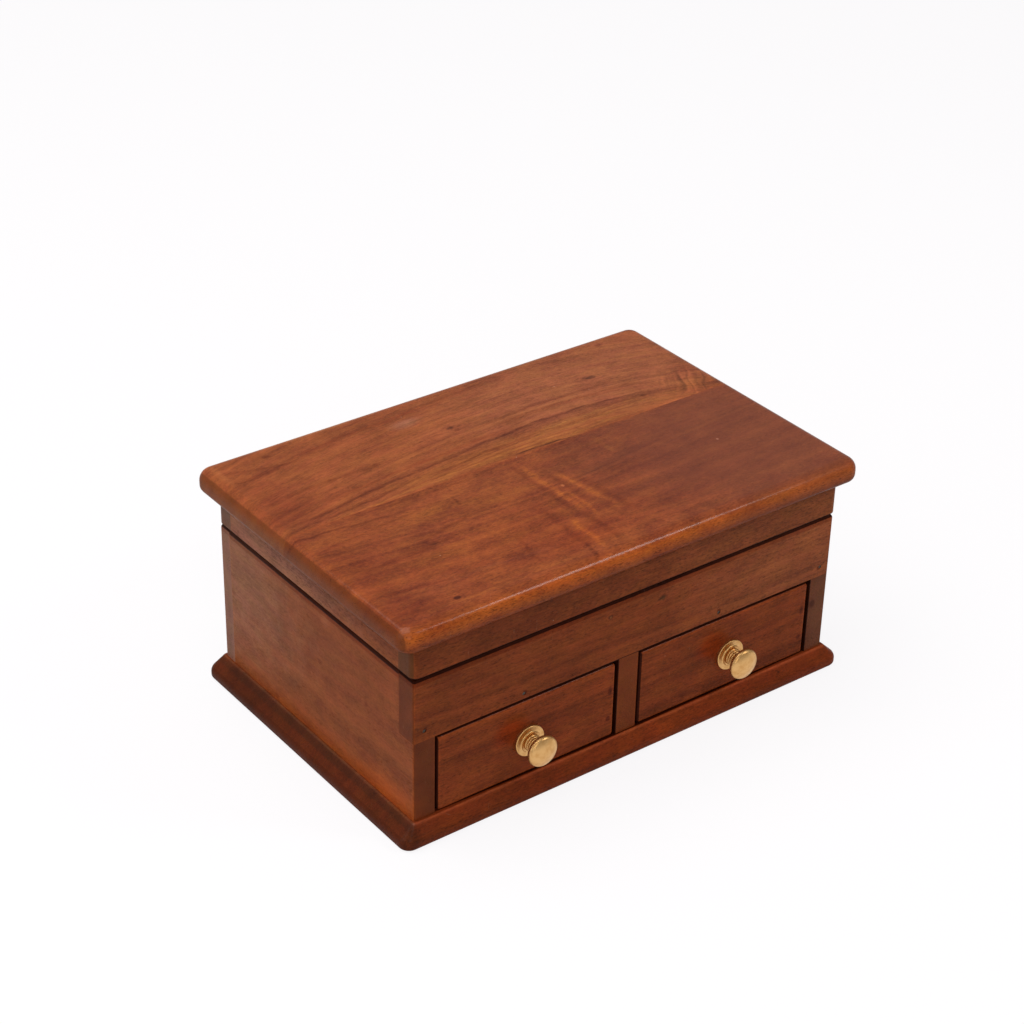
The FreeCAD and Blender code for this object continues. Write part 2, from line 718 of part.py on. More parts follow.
def make_leaf(name, middle, up):
    """A hinge leaf: the lid's leaf has the middle knuckle, the body's leaf the two outer ones."""
    body = new_body(name, (middle, pin_y, pin_z))
    profile = new_sketch(body, f"{name}_profile", "YZ")
    outline(profile, leaf_profile(up))
    grow(body, "Pad", profile, half_hinge * 2, both_ways=True)
    slot_radius = barrel_radius + knuckle_play
    outer_length = half_hinge - half_knuckle
    if up > 0:
        for start in (-half_hinge, half_knuckle):
            cross_section(body, "Pocket", slot_radius, start, outer_length)
        cross_section(body, "Pad", barrel_radius, 0, half_knuckle * 2, both_ways=True)
        cross_section(body, "Pocket", pin_radius + size("pin_play"), 0, half_hinge * 2, both_ways=True)
    else:
        slot_length = (half_knuckle + knuckle_play) * 2
        cross_section(body, "Pocket", slot_radius, 0, slot_length, both_ways=True)
        knuckle = outer_length - knuckle_play
        for start in (-half_hinge, half_knuckle + knuckle_play):
            cross_section(body, "Pad", barrel_radius, start, knuckle)
        cross_section(body, "Pocket", pin_radius, 0, half_hinge * 2, both_ways=True)
    screw_y = back_face - pin_y - hinge_screw_y
    mouth_z = half_gap * up
    for x in (-hinge_screw_x, hinge_screw_x):
        hole = drill(body, "XY", x, screw_y, hinge_screw_radius, leaf_thickness, mouth_z, backwards=up > 0)
        sink = body.newObject("PartDesign::Chamfer", f"{name}_countersink")
        sink.Base = (hole, [round_mouth(hole, x, screw_y, mouth_z, hinge_screw_radius)])
        bind(sink, "Size", hinge_screw_radius * (HEAD_SHARE - 1))
        document.recompute()


def make_hinges():
    """Both hinges, and the screws of their leaves."""
    for side, middle in zip(("left", "right"), hinge_middles):
        make_leaf(f"{side}_hinge_body_leaf", middle, -1)
        make_leaf(f"{side}_hinge_lid_leaf", middle, 1)
        pin = new_body(f"{side}_hinge_pin", (middle, pin_y, pin_z))
        section = new_sketch(pin, f"{side}_hinge_pin_section", "YZ")
        circle(section, 0, 0, pin_radius)
        grow(pin, "Pad", section, half_hinge * 2, both_ways=True)
    screw = countersunk_screw("hinge_screw", hinge_screw_radius, hinge_screw_length)
    screw_y = back_face - hinge_screw_y
    spots = [
        (middle + offset, screw_y) for middle in hinge_middles for offset in (-hinge_screw_x, hinge_screw_x)
    ]
    fastener_group("hinge_screws_body", screw, [(x, y, body_top) for x, y in spots], (0, 0, -1))
    fastener_group("hinge_screws_lid", screw, [(x, y, frame_bottom) for x, y in spots], (0, 0, 1))


make_hinges()


# ---------------------------------------------------------------------------
# Knobs: turned brass, screwed on from inside the drawer
# ---------------------------------------------------------------------------

knob_screw_radius = size("knob_screw_radius")
knob_screw_reach = size("knob_screw_reach")
NECK_BEADS = 3


def knob_outline():
    """Half section of a knob: points as (radius, way out of the drawer front), and its arcs."""
    foot_radius = size("knob_flange_radius")
    foot = size("knob_flange_thickness")
    foot_round = size("knob_flange_round")
    step = size("knob_step")
    bead = size("knob_bead_radius")
    bead_length = size("knob_bead_length")
    bead_height = size("knob_bead_height")
    neck = size("knob_neck_radius")
    head_radius = size("knob_head_radius")
    edge_in = size("knob_edge_inset")
    edge_height = size("knob_edge_height")
    projection = size("knob_projection")
    dome_height = size("knob_dome_height")

    bead_foot = bead - bead_height
    bead_bend = (bead_length * bead_length / 4 + bead_height * bead_height) / (bead_height * 2)
    first_bead = foot + step
    widest = projection - dome_height - edge_height
    underside = widest - edge_in
    dome_foot = head_radius - edge_in
    edge_bend = (edge_in * edge_in + edge_height * edge_height) / (edge_in * 2)
    dome_bend = (dome_foot * dome_foot + dome_height * dome_height) / (dome_height * 2)

    points = [
        (0, knob_screw_reach),
        (knob_screw_radius, knob_screw_reach),
        (knob_screw_radius, 0),
        (foot_radius, 0),
        (foot_radius, foot - foot_round),
        (foot_radius - foot_round, foot),
        (bead + step * 2, foot),
        (bead + step, first_bead),
    ]
    bends = [(4, foot_round, 1), (6, step, -1)]
    bead_end = first_bead
    for bead_number in range(NECK_BEADS):
        bead_start = first_bead + (bead_length + size("knob_bead_gap")) * bead_number
        bead_end = bead_start + bead_length
        bends.append((len(points), bead_bend, 1))
        points += [(bead_foot, bead_start), (bead_foot, bead_end)]
    neck_point = len(points)
    points += [
        (neck, bead_end),
        (dome_foot, underside),
        (head_radius, widest),
        (dome_foot, widest + edge_height),
        (0, projection),
    ]
    bends += [
        (neck_point, size("knob_cove_radius"), -1),
        (neck_point + 1, edge_in, 1),
        (neck_point + 2, edge_bend, 1),
        (neck_point + 3, dome_bend, 1),
    ]
    return [(radius, -way_out) for radius, way_out in points], bends


def make_knob(name, x, z):
    """A knob turned about its own Y axis, its foot flat on the drawer front."""
    turn(new_body(name, (x, front_face, z)), "XY", *knob_outline())


def make_knob_screw(name, x, z):
    """The slotted screw that holds a knob, pushed through the drawer front from inside."""
    head_radius = knob_screw_radius * HEAD_SHARE
    head_height = knob_screw_radius
    shank = size("drawer_front_thickness") + knob_screw_reach
    slot = knob_screw_radius * SLOT_SHARE
    body = new_body(name, (x, front_face + size("drawer_front_thickness"), z))
    head_bend = (head_radius * head_radius + head_height * head_height) / (head_height * 2)
    points = [
        (0, -shank), (knob_screw_radius, -shank), (knob_screw_radius, 0), (head_radius, 0), (0, head_height),
    ]
    turn(body, "XY", points, [(3, head_bend, -1)])
    cut_slot(body, "XZ", head_radius, slot, slot, slot - head_height)


# ---------------------------------------------------------------------------
# Drawers: rebated front, sides and back, and a bottom let into grooves
# ---------------------------------------------------------------------------

front_thickness = size("drawer_front_thickness")
wall = size("drawer_side_thickness")
front_lap = size("drawer_front_lap")
drawer_height = opening_height - size("drawer_gap_top")
side_height = drawer_height - size("drawer_side_drop")
groove_foot = size("groove_height")
groove_depth = size("groove_depth")
groove_width = size("drawer_bottom_thickness") + size("groove_play")
drawer_length = size("body_depth") - back_thickness - size("drawer_gap_back")
side_length = drawer_length - front_thickness + front_lap
corner_radius = size("drawer_corner_radius")


def make_drawer(prefix, opening_left, opening_right, knob_x):
    """One drawer with its knob; opening_left and opening_right are the walls of its opening."""
    left = opening_left + size("drawer_gap_side")
    right = opening_right - size("drawer_gap_side")
    width = right - left
    lap_y = front_thickness - front_lap
    knob_z = size("knob_height")

    front = board(
        f"{prefix}_drawer_front", (left, front_face, base_top),
        (right, front_face + front_thickness, base_top + drawer_height),
    )
    corners = [
        edge for x in (0, width) for z in (0, drawer_height) for edge in edges_in(front.Tip, x=x, z=z)
    ]
    round_edges(front, corners, corner_radius)
    round_edges(front, edges_in(front.Tip, y=0), size("drawer_front_radius"))
    for low_x in (0, width - wall):
        cut_box(front, (low_x, lap_y, 0), (low_x + wall, front_thickness, drawer_height))
    cut_box(
        front, (wall, front_thickness - groove_depth, groove_foot),
        (width - wall, front_thickness, groove_foot + groove_width),
    )
    hole = knob_screw_radius + size("screw_play")
    drill(front, "XZ", knob_x - left, knob_z, hole, front_thickness)

    sides = (("left", left, 0, wall - groove_depth), ("right", right - wall, wall, 0))
    for side, low_x, outer_x, groove_x in sides:
        low = (low_x, front_face + lap_y, base_top)
        high = (low_x + wall, front_face + drawer_length, base_top + side_height)
        body = board(f"{prefix}_drawer_{side}_side", low, high)
        round_edges(body, edges_in(body.Tip, x=outer_x, z=0), corner_radius)
        groove_high = (groove_x + groove_depth, side_length, groove_foot + groove_width)
        cut_box(body, (groove_x, 0, groove_foot), groove_high)

    bottom_z = base_top + groove_foot
    bottom_top = bottom_z + size("drawer_bottom_thickness")
    back_y = front_face + drawer_length
    board(
        f"{prefix}_drawer_bottom",
        (left + wall - groove_depth, front_face + front_thickness - groove_depth, bottom_z),
        (right - wall + groove_depth, back_y, bottom_top),
    )
    board(
        f"{prefix}_drawer_back", (left + wall, back_y - wall, bottom_top),
        (right - wall, back_y, base_top + side_height),
    )
    make_knob(f"{prefix}_drawer_knob", knob_x, base_top + knob_z)
    make_knob_screw(f"{prefix}_drawer_knob_screw", knob_x, base_top + knob_z)


left_middle = (inner_left + divider_left) / 2
right_middle = (divider_right + inner_right) / 2
make_drawer("left", inner_left, divider_left, left_middle + size("left_knob_offset"))
make_drawer("right", divider_right, inner_right, right_middle + size("right_knob_offset"))


# ---------------------------------------------------------------------------
# Check every object, then write one STEP file for each sub-part
# ---------------------------------------------------------------------------

document.recompute()
failed = [item.Name for item in document.Objects if "Invalid" in item.State or "Error" in item.State]
if failed:
    raise RuntimeError(f"these objects failed to build: {failed}")
os.makedirs("parts", exist_ok=True)
for subpart in subparts:
    shape = subpart.Shape
    if shape.isNull() or not shape.isValid() or shape.Volume <= 0:
        raise RuntimeError(f"{subpart.Label} has no valid solid")
    shape.exportStep(f"parts/{subpart.Label}.step")
    print(f"{subpart.Label}: {len(shape.Solids)} solid(s), {shape.Volume:.0f} cubic mm")
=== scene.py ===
# %% [markdown]
# # Dressing a lidded two-drawer box
# The box is already built as solid parts, and they stay exactly where they are.
# This lesson gives every part its finish: stained and varnished hardwood, turned brass,
# steel fasteners and the bare wood inside the drawers. It ends with a plain white studio.
#
# Lengths in Blender are metres. The grain of wood is easier to think of in millimetres,
# so the wood and metal recipes work in millimetres.

# %% Load the parts and measure the box
import math
import bpy
from mathutils import Matrix, Vector


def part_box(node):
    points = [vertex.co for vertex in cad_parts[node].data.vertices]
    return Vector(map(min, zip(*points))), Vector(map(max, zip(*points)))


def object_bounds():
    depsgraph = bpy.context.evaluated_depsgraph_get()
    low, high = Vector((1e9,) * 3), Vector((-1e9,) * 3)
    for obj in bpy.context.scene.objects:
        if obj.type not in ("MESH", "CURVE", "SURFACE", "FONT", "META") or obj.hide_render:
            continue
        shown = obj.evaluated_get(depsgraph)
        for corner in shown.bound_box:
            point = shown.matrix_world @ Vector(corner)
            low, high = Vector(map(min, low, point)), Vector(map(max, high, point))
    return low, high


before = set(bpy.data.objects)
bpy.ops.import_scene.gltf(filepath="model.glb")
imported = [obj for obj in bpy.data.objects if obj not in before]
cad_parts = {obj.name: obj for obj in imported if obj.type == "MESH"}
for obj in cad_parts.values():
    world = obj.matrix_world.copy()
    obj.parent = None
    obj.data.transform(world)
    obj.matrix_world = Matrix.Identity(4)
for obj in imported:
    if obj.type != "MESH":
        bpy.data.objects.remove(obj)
solid_low, solid_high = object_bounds()
MM = 0.001
print("parts:", len(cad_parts), "size in mm:", [round(side / MM, 1) for side in solid_high - solid_low])

# %% [markdown]
# ## Small helpers for node trees
# A material is a graph: every node has inputs, and each input takes either a fixed value or
# the output of another node. One helper that does both keeps each recipe short.

# %% Add a node, and fill its inputs with values or links
def fill(tree, node, inputs):
    """Give a node's inputs fixed values or other nodes' outputs."""
    for name, value in dict(inputs).items():
        if isinstance(value, bpy.types.NodeSocket):
            tree.links.new(value, node.inputs[name])
        else:
            node.inputs[name].default_value = value
    return node


def add(tree, kind, inputs=(), **settings):
    """Add a node, set its options and fill its inputs."""
    node = tree.nodes.new(kind)
    for option, value in settings.items():
        setattr(node, option, value)
    return fill(tree, node, inputs)


print("adding and filling nodes: ready")

# %% Arithmetic on numbers, points and colours
def calculate(tree, operation, *values, clamp=False):
    """One step of arithmetic on numbers or outputs."""
    node = add(tree, "ShaderNodeMath", enumerate(values), operation=operation, use_clamp=clamp)
    return node.outputs[0]


def times(tree, *values, clamp=False):
    """One number times another."""
    return calculate(tree, "MULTIPLY", *values, clamp=clamp)


def swing(tree, pattern, size):
    """How far a pattern is from its middle value of a half, times a size."""
    return times(tree, calculate(tree, "SUBTRACT", pattern, 0.5), size)


def vectors(tree, operation, *values, result=0):
    """One step of arithmetic on points or directions; result 1 gives the number, such as a length."""
    node = add(tree, "ShaderNodeVectorMath", enumerate(values), operation=operation)
    return node.outputs[result]


def scale(tree, value, factor):
    """A point, direction or colour times one number."""
    return add(tree, "ShaderNodeVectorMath", {0: value, "Scale": factor}, operation="SCALE").outputs[0]


def axes(tree, value):
    """The X, Y and Z of a point or direction, as three numbers."""
    return add(tree, "ShaderNodeSeparateXYZ", {0: value}).outputs


def fade(tree, value, low, high, to_low=0.0, to_high=1.0):
    """Turn the stretch low..high of a value smoothly into to_low..to_high."""
    inputs = {"Value": value, "From Min": low, "From Max": high, "To Min": to_low, "To Max": to_high}
    return add(tree, "ShaderNodeMapRange", inputs, interpolation_type="SMOOTHSTEP").outputs["Result"]


def mix_colours(tree, share, first, second, how="MIX"):
    """Mix two colours; a share of 0 gives the first."""
    node = add(tree, "ShaderNodeMix", data_type="RGBA", blend_type=how)
    return fill(tree, node, {0: share, 6: first, 7: second}).outputs[2]


def tinted(tree, share, colour, tint):
    """A colour multiplied by a tint, as far as the share says."""
    return mix_colours(tree, share, colour, mix_colours(tree, 1.0, colour, tint, "MULTIPLY"))


print("arithmetic: ready")

# %% Noise, and groups with named inputs
def noise(tree, place, size, detail=2.0, roughness=0.5, output="Fac"):
    """Soft noise from 0 to 1; size is the reach of its largest waves along X, Y and Z, in mm."""
    place = vectors(tree, "MULTIPLY", place, tuple(1 / reach for reach in size))
    inputs = {"Vector": place, "Scale": 1.0, "Detail": detail, "Roughness": roughness}
    return add(tree, "ShaderNodeTexNoise", inputs).outputs[output]


def noise_along(tree, distance, detail=2.0, roughness=0.5):
    """Noise that changes along one number only."""
    inputs = {"W": distance, "Scale": 1.0, "Detail": detail, "Roughness": roughness}
    return add(tree, "ShaderNodeTexNoise", inputs, noise_dimensions="1D").outputs["Fac"]


def new_group(name, inputs, outputs):
    """An empty node group: its tree, what comes in, and the node that takes what goes out.

    Its inputs and outputs are listed as pairs of a kind and the names of that kind.
    """
    tree = bpy.data.node_groups.new(name, "ShaderNodeTree")
    for direction, sockets in (("INPUT", inputs), ("OUTPUT", outputs)):
        for kind, labels in sockets:
            for label in labels.split(", "):
                tree.interface.new_socket(label, in_out=direction, socket_type=f"NodeSocket{kind}")
    return tree, tree.nodes.new("NodeGroupInput").outputs, tree.nodes.new("NodeGroupOutput")


def place_group(tree, group, **inputs):
    """Put a node group into a material; input names use _ for spaces."""
    node = add(tree, "ShaderNodeGroup", node_tree=group)
    return fill(tree, node, {name.replace("_", " "): value for name, value in inputs.items()}).outputs


print("noise and groups: ready")

# %% [markdown]
# ## Timber: one log, seen from every side
# A board is cut from a log, so its face, edge and end all show the same rings. A flat
# picture of grain would not turn the corner of a board, but a solid recipe does: it asks
# how far each point lies from the heart of the log, and colours it by that distance.
# X runs along the grain. The rings wander slowly, and arch towards the ends of the board
# where the log was curved.

# %% Rings round the heart of the log
WANDER_SIZE = (150, 38, 38)
ARCH_SPAN = 100
LINES_PER_RING = 2.3


def bend_grain(tree, given):
    """Shift the place by a slow wander, and by an arch that is Rise or Fall high one span away."""
    drift = noise(tree, given["Place"], WANDER_SIZE, 3.0, output="Color")
    drift = scale(tree, vectors(tree, "SUBTRACT", drift, (0.5, 0.5, 0.5)), given["Wander"])
    spans = times(tree, axes(tree, given["Place"])["X"], 1 / ARCH_SPAN)
    arch = 0.0
    for half, bend in (("MINIMUM", "Rise"), ("MAXIMUM", "Fall")):
        side = calculate(tree, half, spans, 0.0)
        side = times(tree, side, side)
        arch = calculate(tree, "MULTIPLY_ADD", side, given[bend], arch)
    arch = add(tree, "ShaderNodeCombineXYZ", {"Y": arch}).outputs[0]
    return vectors(tree, "ADD", vectors(tree, "ADD", given["Place"], drift), arch)


def growth_rings(tree, bent, given):
    """Soft rings by distance from the heart, and thin dark lines that follow them."""
    across = vectors(tree, "MULTIPLY", vectors(tree, "SUBTRACT", bent, given["Heart"]), (0, 1, 1))
    rings = calculate(tree, "DIVIDE", vectors(tree, "LENGTH", across, result=1), given["Ring Width"])
    growth = noise_along(tree, rings, 3.0, 0.6)
    lines = noise_along(tree, times(tree, rings, LINES_PER_RING), 1.0)
    return growth, fade(tree, lines, 0.57, 0.72)


print("rings: ready; the longest waves of the wander are", WANDER_SIZE[0], "mm")

# %% [markdown]
# ## What lies over the rings
# Long soft fibres, short dark pores, and blotches where the stain soaked in deeper lie over
# the rings. Pores are darker on a board's upright faces. Stain also soaks deep into the open
# ends of the grain, so a face that looks along the grain takes a tint of its own and hardly
# shows the rings.

# %% The timber group
FIBRE_SIZE = (10, 0.8, 0.8)
BAND_SIZE = (36, 2.8, 2.8)
PORE_SIZE = (2.2, 0.38, 0.38)
BLOTCH_SIZE = (17, 12, 12)
GRIT_SIZE = (1.6, 0.9, 0.9)
HUE_SIZE = (16, 6, 6)
REDDER, GREENER = (1.01, 0.96, 1.03, 1), (0.99, 1.03, 0.96, 1)
PORE_INK = (0.02, 0.008, 0.004, 1)
UPRIGHT_PORES = 1.7
END_EVENNESS = 0.8
FIBRE_RELIEF = 0.35


def wood_tone(tree, given, lines, swings):
    """From 0 for the dark stain to 1 for the light one: each pattern swings it about the middle."""
    tone = 0.5
    for depth, pattern, share in swings:
        tone = calculate(tree, "MULTIPLY_ADD", swing(tree, pattern, given[depth]), share, tone)
    lines = times(tree, lines, given["Line Depth"])
    return calculate(tree, "SUBTRACT", tone, lines, clamp=True)


def make_timber():
    """Wood from the rings outwards: its colour, its relief and its pores."""
    tree, given, out = new_group("Timber", [
        ("Vector", "Place, Facing, Heart"),
        ("Float", "Ring Width, Wander, Rise, Fall"),
        ("Color", "Light, Dark, End"),
        ("Float", "Ring Depth, Line Depth, Fibre Depth, Pore Depth, Blotch Depth"),
    ], [("Color", "Colour"), ("Float", "Relief, Pores")])
    bent = bend_grain(tree, given)
    growth, lines = growth_rings(tree, bent, given)
    fibre = noise(tree, bent, FIBRE_SIZE, 3.0, 0.7)
    band = noise(tree, bent, BAND_SIZE, 3.0, 0.6)
    pores = fade(tree, noise(tree, bent, PORE_SIZE, 1.0, 0.5), 0.54, 0.68)
    pores = times(tree, pores, fade(tree, growth, 0.7, 0.35, 0.5, 1.0))
    blotch = noise(tree, given["Place"], BLOTCH_SIZE, 5.0, 0.6)
    grit = noise(tree, given["Place"], GRIT_SIZE, 2.0, 0.6)

    tone = wood_tone(tree, given, lines, (
        ("Ring Depth", growth, 1.0), ("Fibre Depth", fibre, 1.0), ("Fibre Depth", band, 0.35),
        ("Blotch Depth", blotch, 1.0), ("Blotch Depth", grit, 0.6),
    ))
    facing = axes(tree, given["Facing"])
    end_grain = fade(tree, calculate(tree, "ABSOLUTE", facing["X"]), 0.66, 0.76)
    even = calculate(tree, "ADD", swing(tree, blotch, 0.7), 0.5)
    evened = times(tree, end_grain, END_EVENNESS)
    tone = add(tree, "ShaderNodeMix", {0: evened, 2: tone, 3: even}).outputs[0]

    colour = mix_colours(tree, tone, given["Dark"], given["Light"])
    hue = fade(tree, noise(tree, bent, HUE_SIZE, 3.0, 0.6), 0.36, 0.64)
    colour = mix_colours(tree, 1.0, colour, mix_colours(tree, hue, REDDER, GREENER), "MULTIPLY")
    upright = fade(tree, calculate(tree, "ABSOLUTE", facing["Z"]), 0.9, 0.3, 1.0, UPRIGHT_PORES)
    dark_pores = times(tree, pores, given["Pore Depth"])
    dark_pores = times(tree, dark_pores, upright, clamp=True)
    colour = mix_colours(tree, dark_pores, colour, PORE_INK)
    colour = tinted(tree, end_grain, colour, given["End"])
    relief = calculate(tree, "SUBTRACT", times(tree, fibre, FIBRE_RELIEF), pores)
    fill(tree, out, {"Colour": colour, "Relief": relief, "Pores": pores})
    return tree


TIMBER = make_timber()
print("timber group:", len(TIMBER.nodes), "nodes")

# %% [markdown]
# ## Patches, knots and ripples
# No two boards are alike. Each has places of its own: a lighter strip beside a glue line, a
# pin knot with the grain flowing round it, a rippled figure where the fibres wave. Each of
# these is a small group with a centre and a size, so that a board can have as many as it needs.

# %% The patch group: a soft-edged place on a board
RAGGED_SIZE = (25, 7, 7)


def reach_of(tree, given):
    """Distance from the centre counted in radii, and the way there from the centre, also in radii."""
    away = vectors(tree, "DIVIDE", vectors(tree, "SUBTRACT", given["Place"], given["Centre"]), given["Radii"])
    return vectors(tree, "LENGTH", away, result=1), away


def make_patch():
    """A mask that is 1 inside a ragged round place and 0 outside it."""
    tree, given, out = new_group(
        "Patch", [("Vector", "Place, Centre, Radii"), ("Float", "Softness")],
        [("Float", "Mask")],
    )
    distance, _ = reach_of(tree, given)
    ragged = noise(tree, given["Place"], RAGGED_SIZE, 3.0, 0.6)
    ragged = calculate(tree, "MULTIPLY_ADD", ragged, given["Softness"], distance)
    outer = calculate(tree, "ADD", 1.0, given["Softness"])
    inner = calculate(tree, "SUBTRACT", 1.0, times(tree, given["Softness"], 0.5))
    fill(tree, out, {"Mask": fade(tree, ragged, outer, inner)})
    return tree


PATCH = make_patch()
print("patch group:", len(PATCH.nodes), "nodes")

# %% The knot group: a dark core, and grain that flows round it
KNOT_RIM_SIZE = (1 / 0.6, 1 / 0.9, 1 / 0.9)
KNOT_FALL_OFF = -0.35


def make_knot():
    """The grain pushed aside round a centre, and the mask of the dark core."""
    tree, given, out = new_group(
        "Knot", [("Vector", "Place, Centre, Radii"), ("Float", "Push")],
        [("Vector", "Place"), ("Float", "Core")],
    )
    distance, away = reach_of(tree, given)
    fall_off = times(tree, calculate(tree, "POWER", distance, 2.0), KNOT_FALL_OFF)
    pull = times(tree, calculate(tree, "EXPONENT", fall_off), given["Push"])
    sideways = vectors(tree, "MULTIPLY", vectors(tree, "MULTIPLY", away, given["Radii"]), (0, -1, -1))
    shift = scale(tree, sideways, pull)
    uneven = noise(tree, given["Place"], KNOT_RIM_SIZE, 2.0, 0.6)
    core = fade(tree, calculate(tree, "MULTIPLY_ADD", uneven, 0.9, distance), 1.25, 0.55)
    fill(tree, out, {"Place": vectors(tree, "ADD", given["Place"], shift), "Core": core})
    return tree


KNOT = make_knot()
print("knot group:", len(KNOT.nodes), "nodes")

# %% The ripple group: light and dark bands across the grain
WAVER_SIZE = (9, 22, 22)
WAVER = 7.0
RIPPLE_RIM_SIZE = (6, 14, 14)
BAND_DEPTH = 2.4


def make_ripple():
    """Bands above and below 0 that run across the grain inside a round place."""
    tree, given, out = new_group(
        "Ripple", [("Vector", "Place, Centre, Radii"), ("Float", "Spacing, Slope")],
        [("Float", "Bands")],
    )
    distance, away = reach_of(tree, given)
    offset = axes(tree, vectors(tree, "MULTIPLY", away, given["Radii"]))
    lean = calculate(tree, "MULTIPLY_ADD", offset["Y"], given["Slope"], offset["X"])
    waver = noise(tree, given["Place"], WAVER_SIZE, 2.0, 0.5)
    lean = calculate(tree, "MULTIPLY_ADD", waver, WAVER, lean)
    bands = noise_along(tree, calculate(tree, "DIVIDE", lean, given["Spacing"]), 1.0, 0.4)
    bands = swing(tree, bands, BAND_DEPTH)
    uneven = noise(tree, given["Place"], RIPPLE_RIM_SIZE, 2.0, 0.5)
    rim = fade(tree, calculate(tree, "MULTIPLY_ADD", uneven, 0.7, distance), 1.45, 0.75)
    fill(tree, out, {"Bands": times(tree, bands, rim)})
    return tree


RIPPLE = make_ripple()
print("ripple group:", len(RIPPLE.nodes), "nodes")

# %% The streak group: one long thin line, along the grain or across it
def make_streak():
    """The mask of one thin line that leans, bows, wanders and breaks up."""
    tree, given, out = new_group("Streak", [
        ("Vector", "Place, Middle, Along, Across"),
        ("Float", "Half Length, Width, Slope, Bow, Wander, Broken"),
    ], [("Float", "Mask")])
    away = vectors(tree, "SUBTRACT", given["Place"], given["Middle"])
    share = vectors(tree, "DOT_PRODUCT", away, given["Along"], result=1)
    share = calculate(tree, "DIVIDE", share, given["Half Length"])
    line = calculate(tree, "MULTIPLY_ADD", share, given["Slope"], given["Wander"])
    dip = times(tree, times(tree, share, share), given["Bow"])
    line = calculate(tree, "SUBTRACT", line, dip)
    aside = calculate(tree, "SUBTRACT", vectors(tree, "DOT_PRODUCT", away, given["Across"], result=1), line)
    aside = calculate(tree, "DIVIDE", calculate(tree, "ABSOLUTE", aside), given["Width"])
    strength = times(tree, fade(tree, aside, 1.0, 0.0), given["Broken"])
    ends = fade(tree, calculate(tree, "ABSOLUTE", share), 1.0, 0.55)
    strength = times(tree, strength, ends)
    fill(tree, out, {"Mask": strength})
    return tree


STREAK = make_streak()
print("streak group:", len(STREAK.nodes), "nodes")

# %% [markdown]
# ## Edges of a board
# Sanding and handling rub the stain thin along an edge. To find the edges of a board it is
# enough to know its two corners: a point near an edge is close to two of the board's six
# faces at once, so the second smallest distance is small.

# %% The board edges group
RUBBED_SIZE = (6, 6, 6)


def make_board_edges():
    """A mask that is 1 at the rubbed edges of a box and 0 on its faces."""
    tree, given, out = new_group(
        "Board Edges", [("Vector", "Place, Low, High"), ("Float", "Reach")],
        [("Float", "Edge")],
    )
    from_low = vectors(tree, "SUBTRACT", given["Place"], given["Low"])
    from_high = vectors(tree, "SUBTRACT", given["High"], given["Place"])
    near = axes(tree, vectors(tree, "MINIMUM", from_low, from_high))
    smaller = calculate(tree, "MINIMUM", near["X"], near["Y"])
    larger = calculate(tree, "MAXIMUM", near["X"], near["Y"])
    second = calculate(tree, "MINIMUM", larger, calculate(tree, "MAXIMUM", smaller, near["Z"]))
    rubbed = noise(tree, given["Place"], RUBBED_SIZE, 4.0, 0.65)
    second = calculate(tree, "DIVIDE", second, given["Reach"])
    worn = calculate(tree, "MULTIPLY_ADD", rubbed, 1.6, calculate(tree, "SUBTRACT", second, 0.8))
    fill(tree, out, {"Edge": fade(tree, worn, 1.0, 0.0)})
    return tree


BOARD_EDGES = make_board_edges()
print("board edges group:", len(BOARD_EDGES.nodes), "nodes")

# %% [markdown]
# ## Painted shade along the lid's gap
# Where the lid sits on the body, the narrow gap is painted dark as shade, on the lid's lower edge
# and on the body's top edge. It lies along the outer edge only, so it is a band at one height, and only a
# little way in.

# %% The under-lid shade group
def make_under_lid_shade():
    """A mask for painted shade: a thin band at one height near the outer faces."""
    tree, given, out = new_group(
        "Under Lid Shade", [("Vector", "Place, Half Size"), ("Float", "Height, Thickness, Reach")],
        [("Float", "Mask")],
    )
    beyond = vectors(tree, "SUBTRACT", vectors(tree, "ABSOLUTE", given["Place"]), given["Half Size"])
    beyond = axes(tree, beyond)
    inward = times(tree, calculate(tree, "MAXIMUM", beyond["X"], beyond["Y"]), -1.0)
    near = fade(tree, calculate(tree, "DIVIDE", inward, given["Reach"]), 1.2, 0.8)
    height = calculate(tree, "SUBTRACT", axes(tree, given["Place"])["Z"], given["Height"])
    height = calculate(tree, "DIVIDE", calculate(tree, "ABSOLUTE", height), given["Thickness"])
    fill(tree, out, {"Mask": times(tree, near, fade(tree, height, 1.1, 0.85))})
    return tree


UNDER_LID_SHADE = make_under_lid_shade()
print("rim line group:", len(UNDER_LID_SHADE.nodes), "nodes")

# %% [markdown]
# ## Use marks
# A box that is opened every day picks up hair scratches and specks of dust. They hardly
# change the colour, but the scratches break up the shine. Three sets of scratches run in
# three directions, and each is noise stretched very long and thin.

# %% The use marks group
SCRATCH_SIZE = (11, 0.28, 4)
SCRATCH_SETS = ((0.35, 1.0), (1.25, 0.7), (2.2, 0.8))
SPECK_CELLS_PER_MM = 0.09


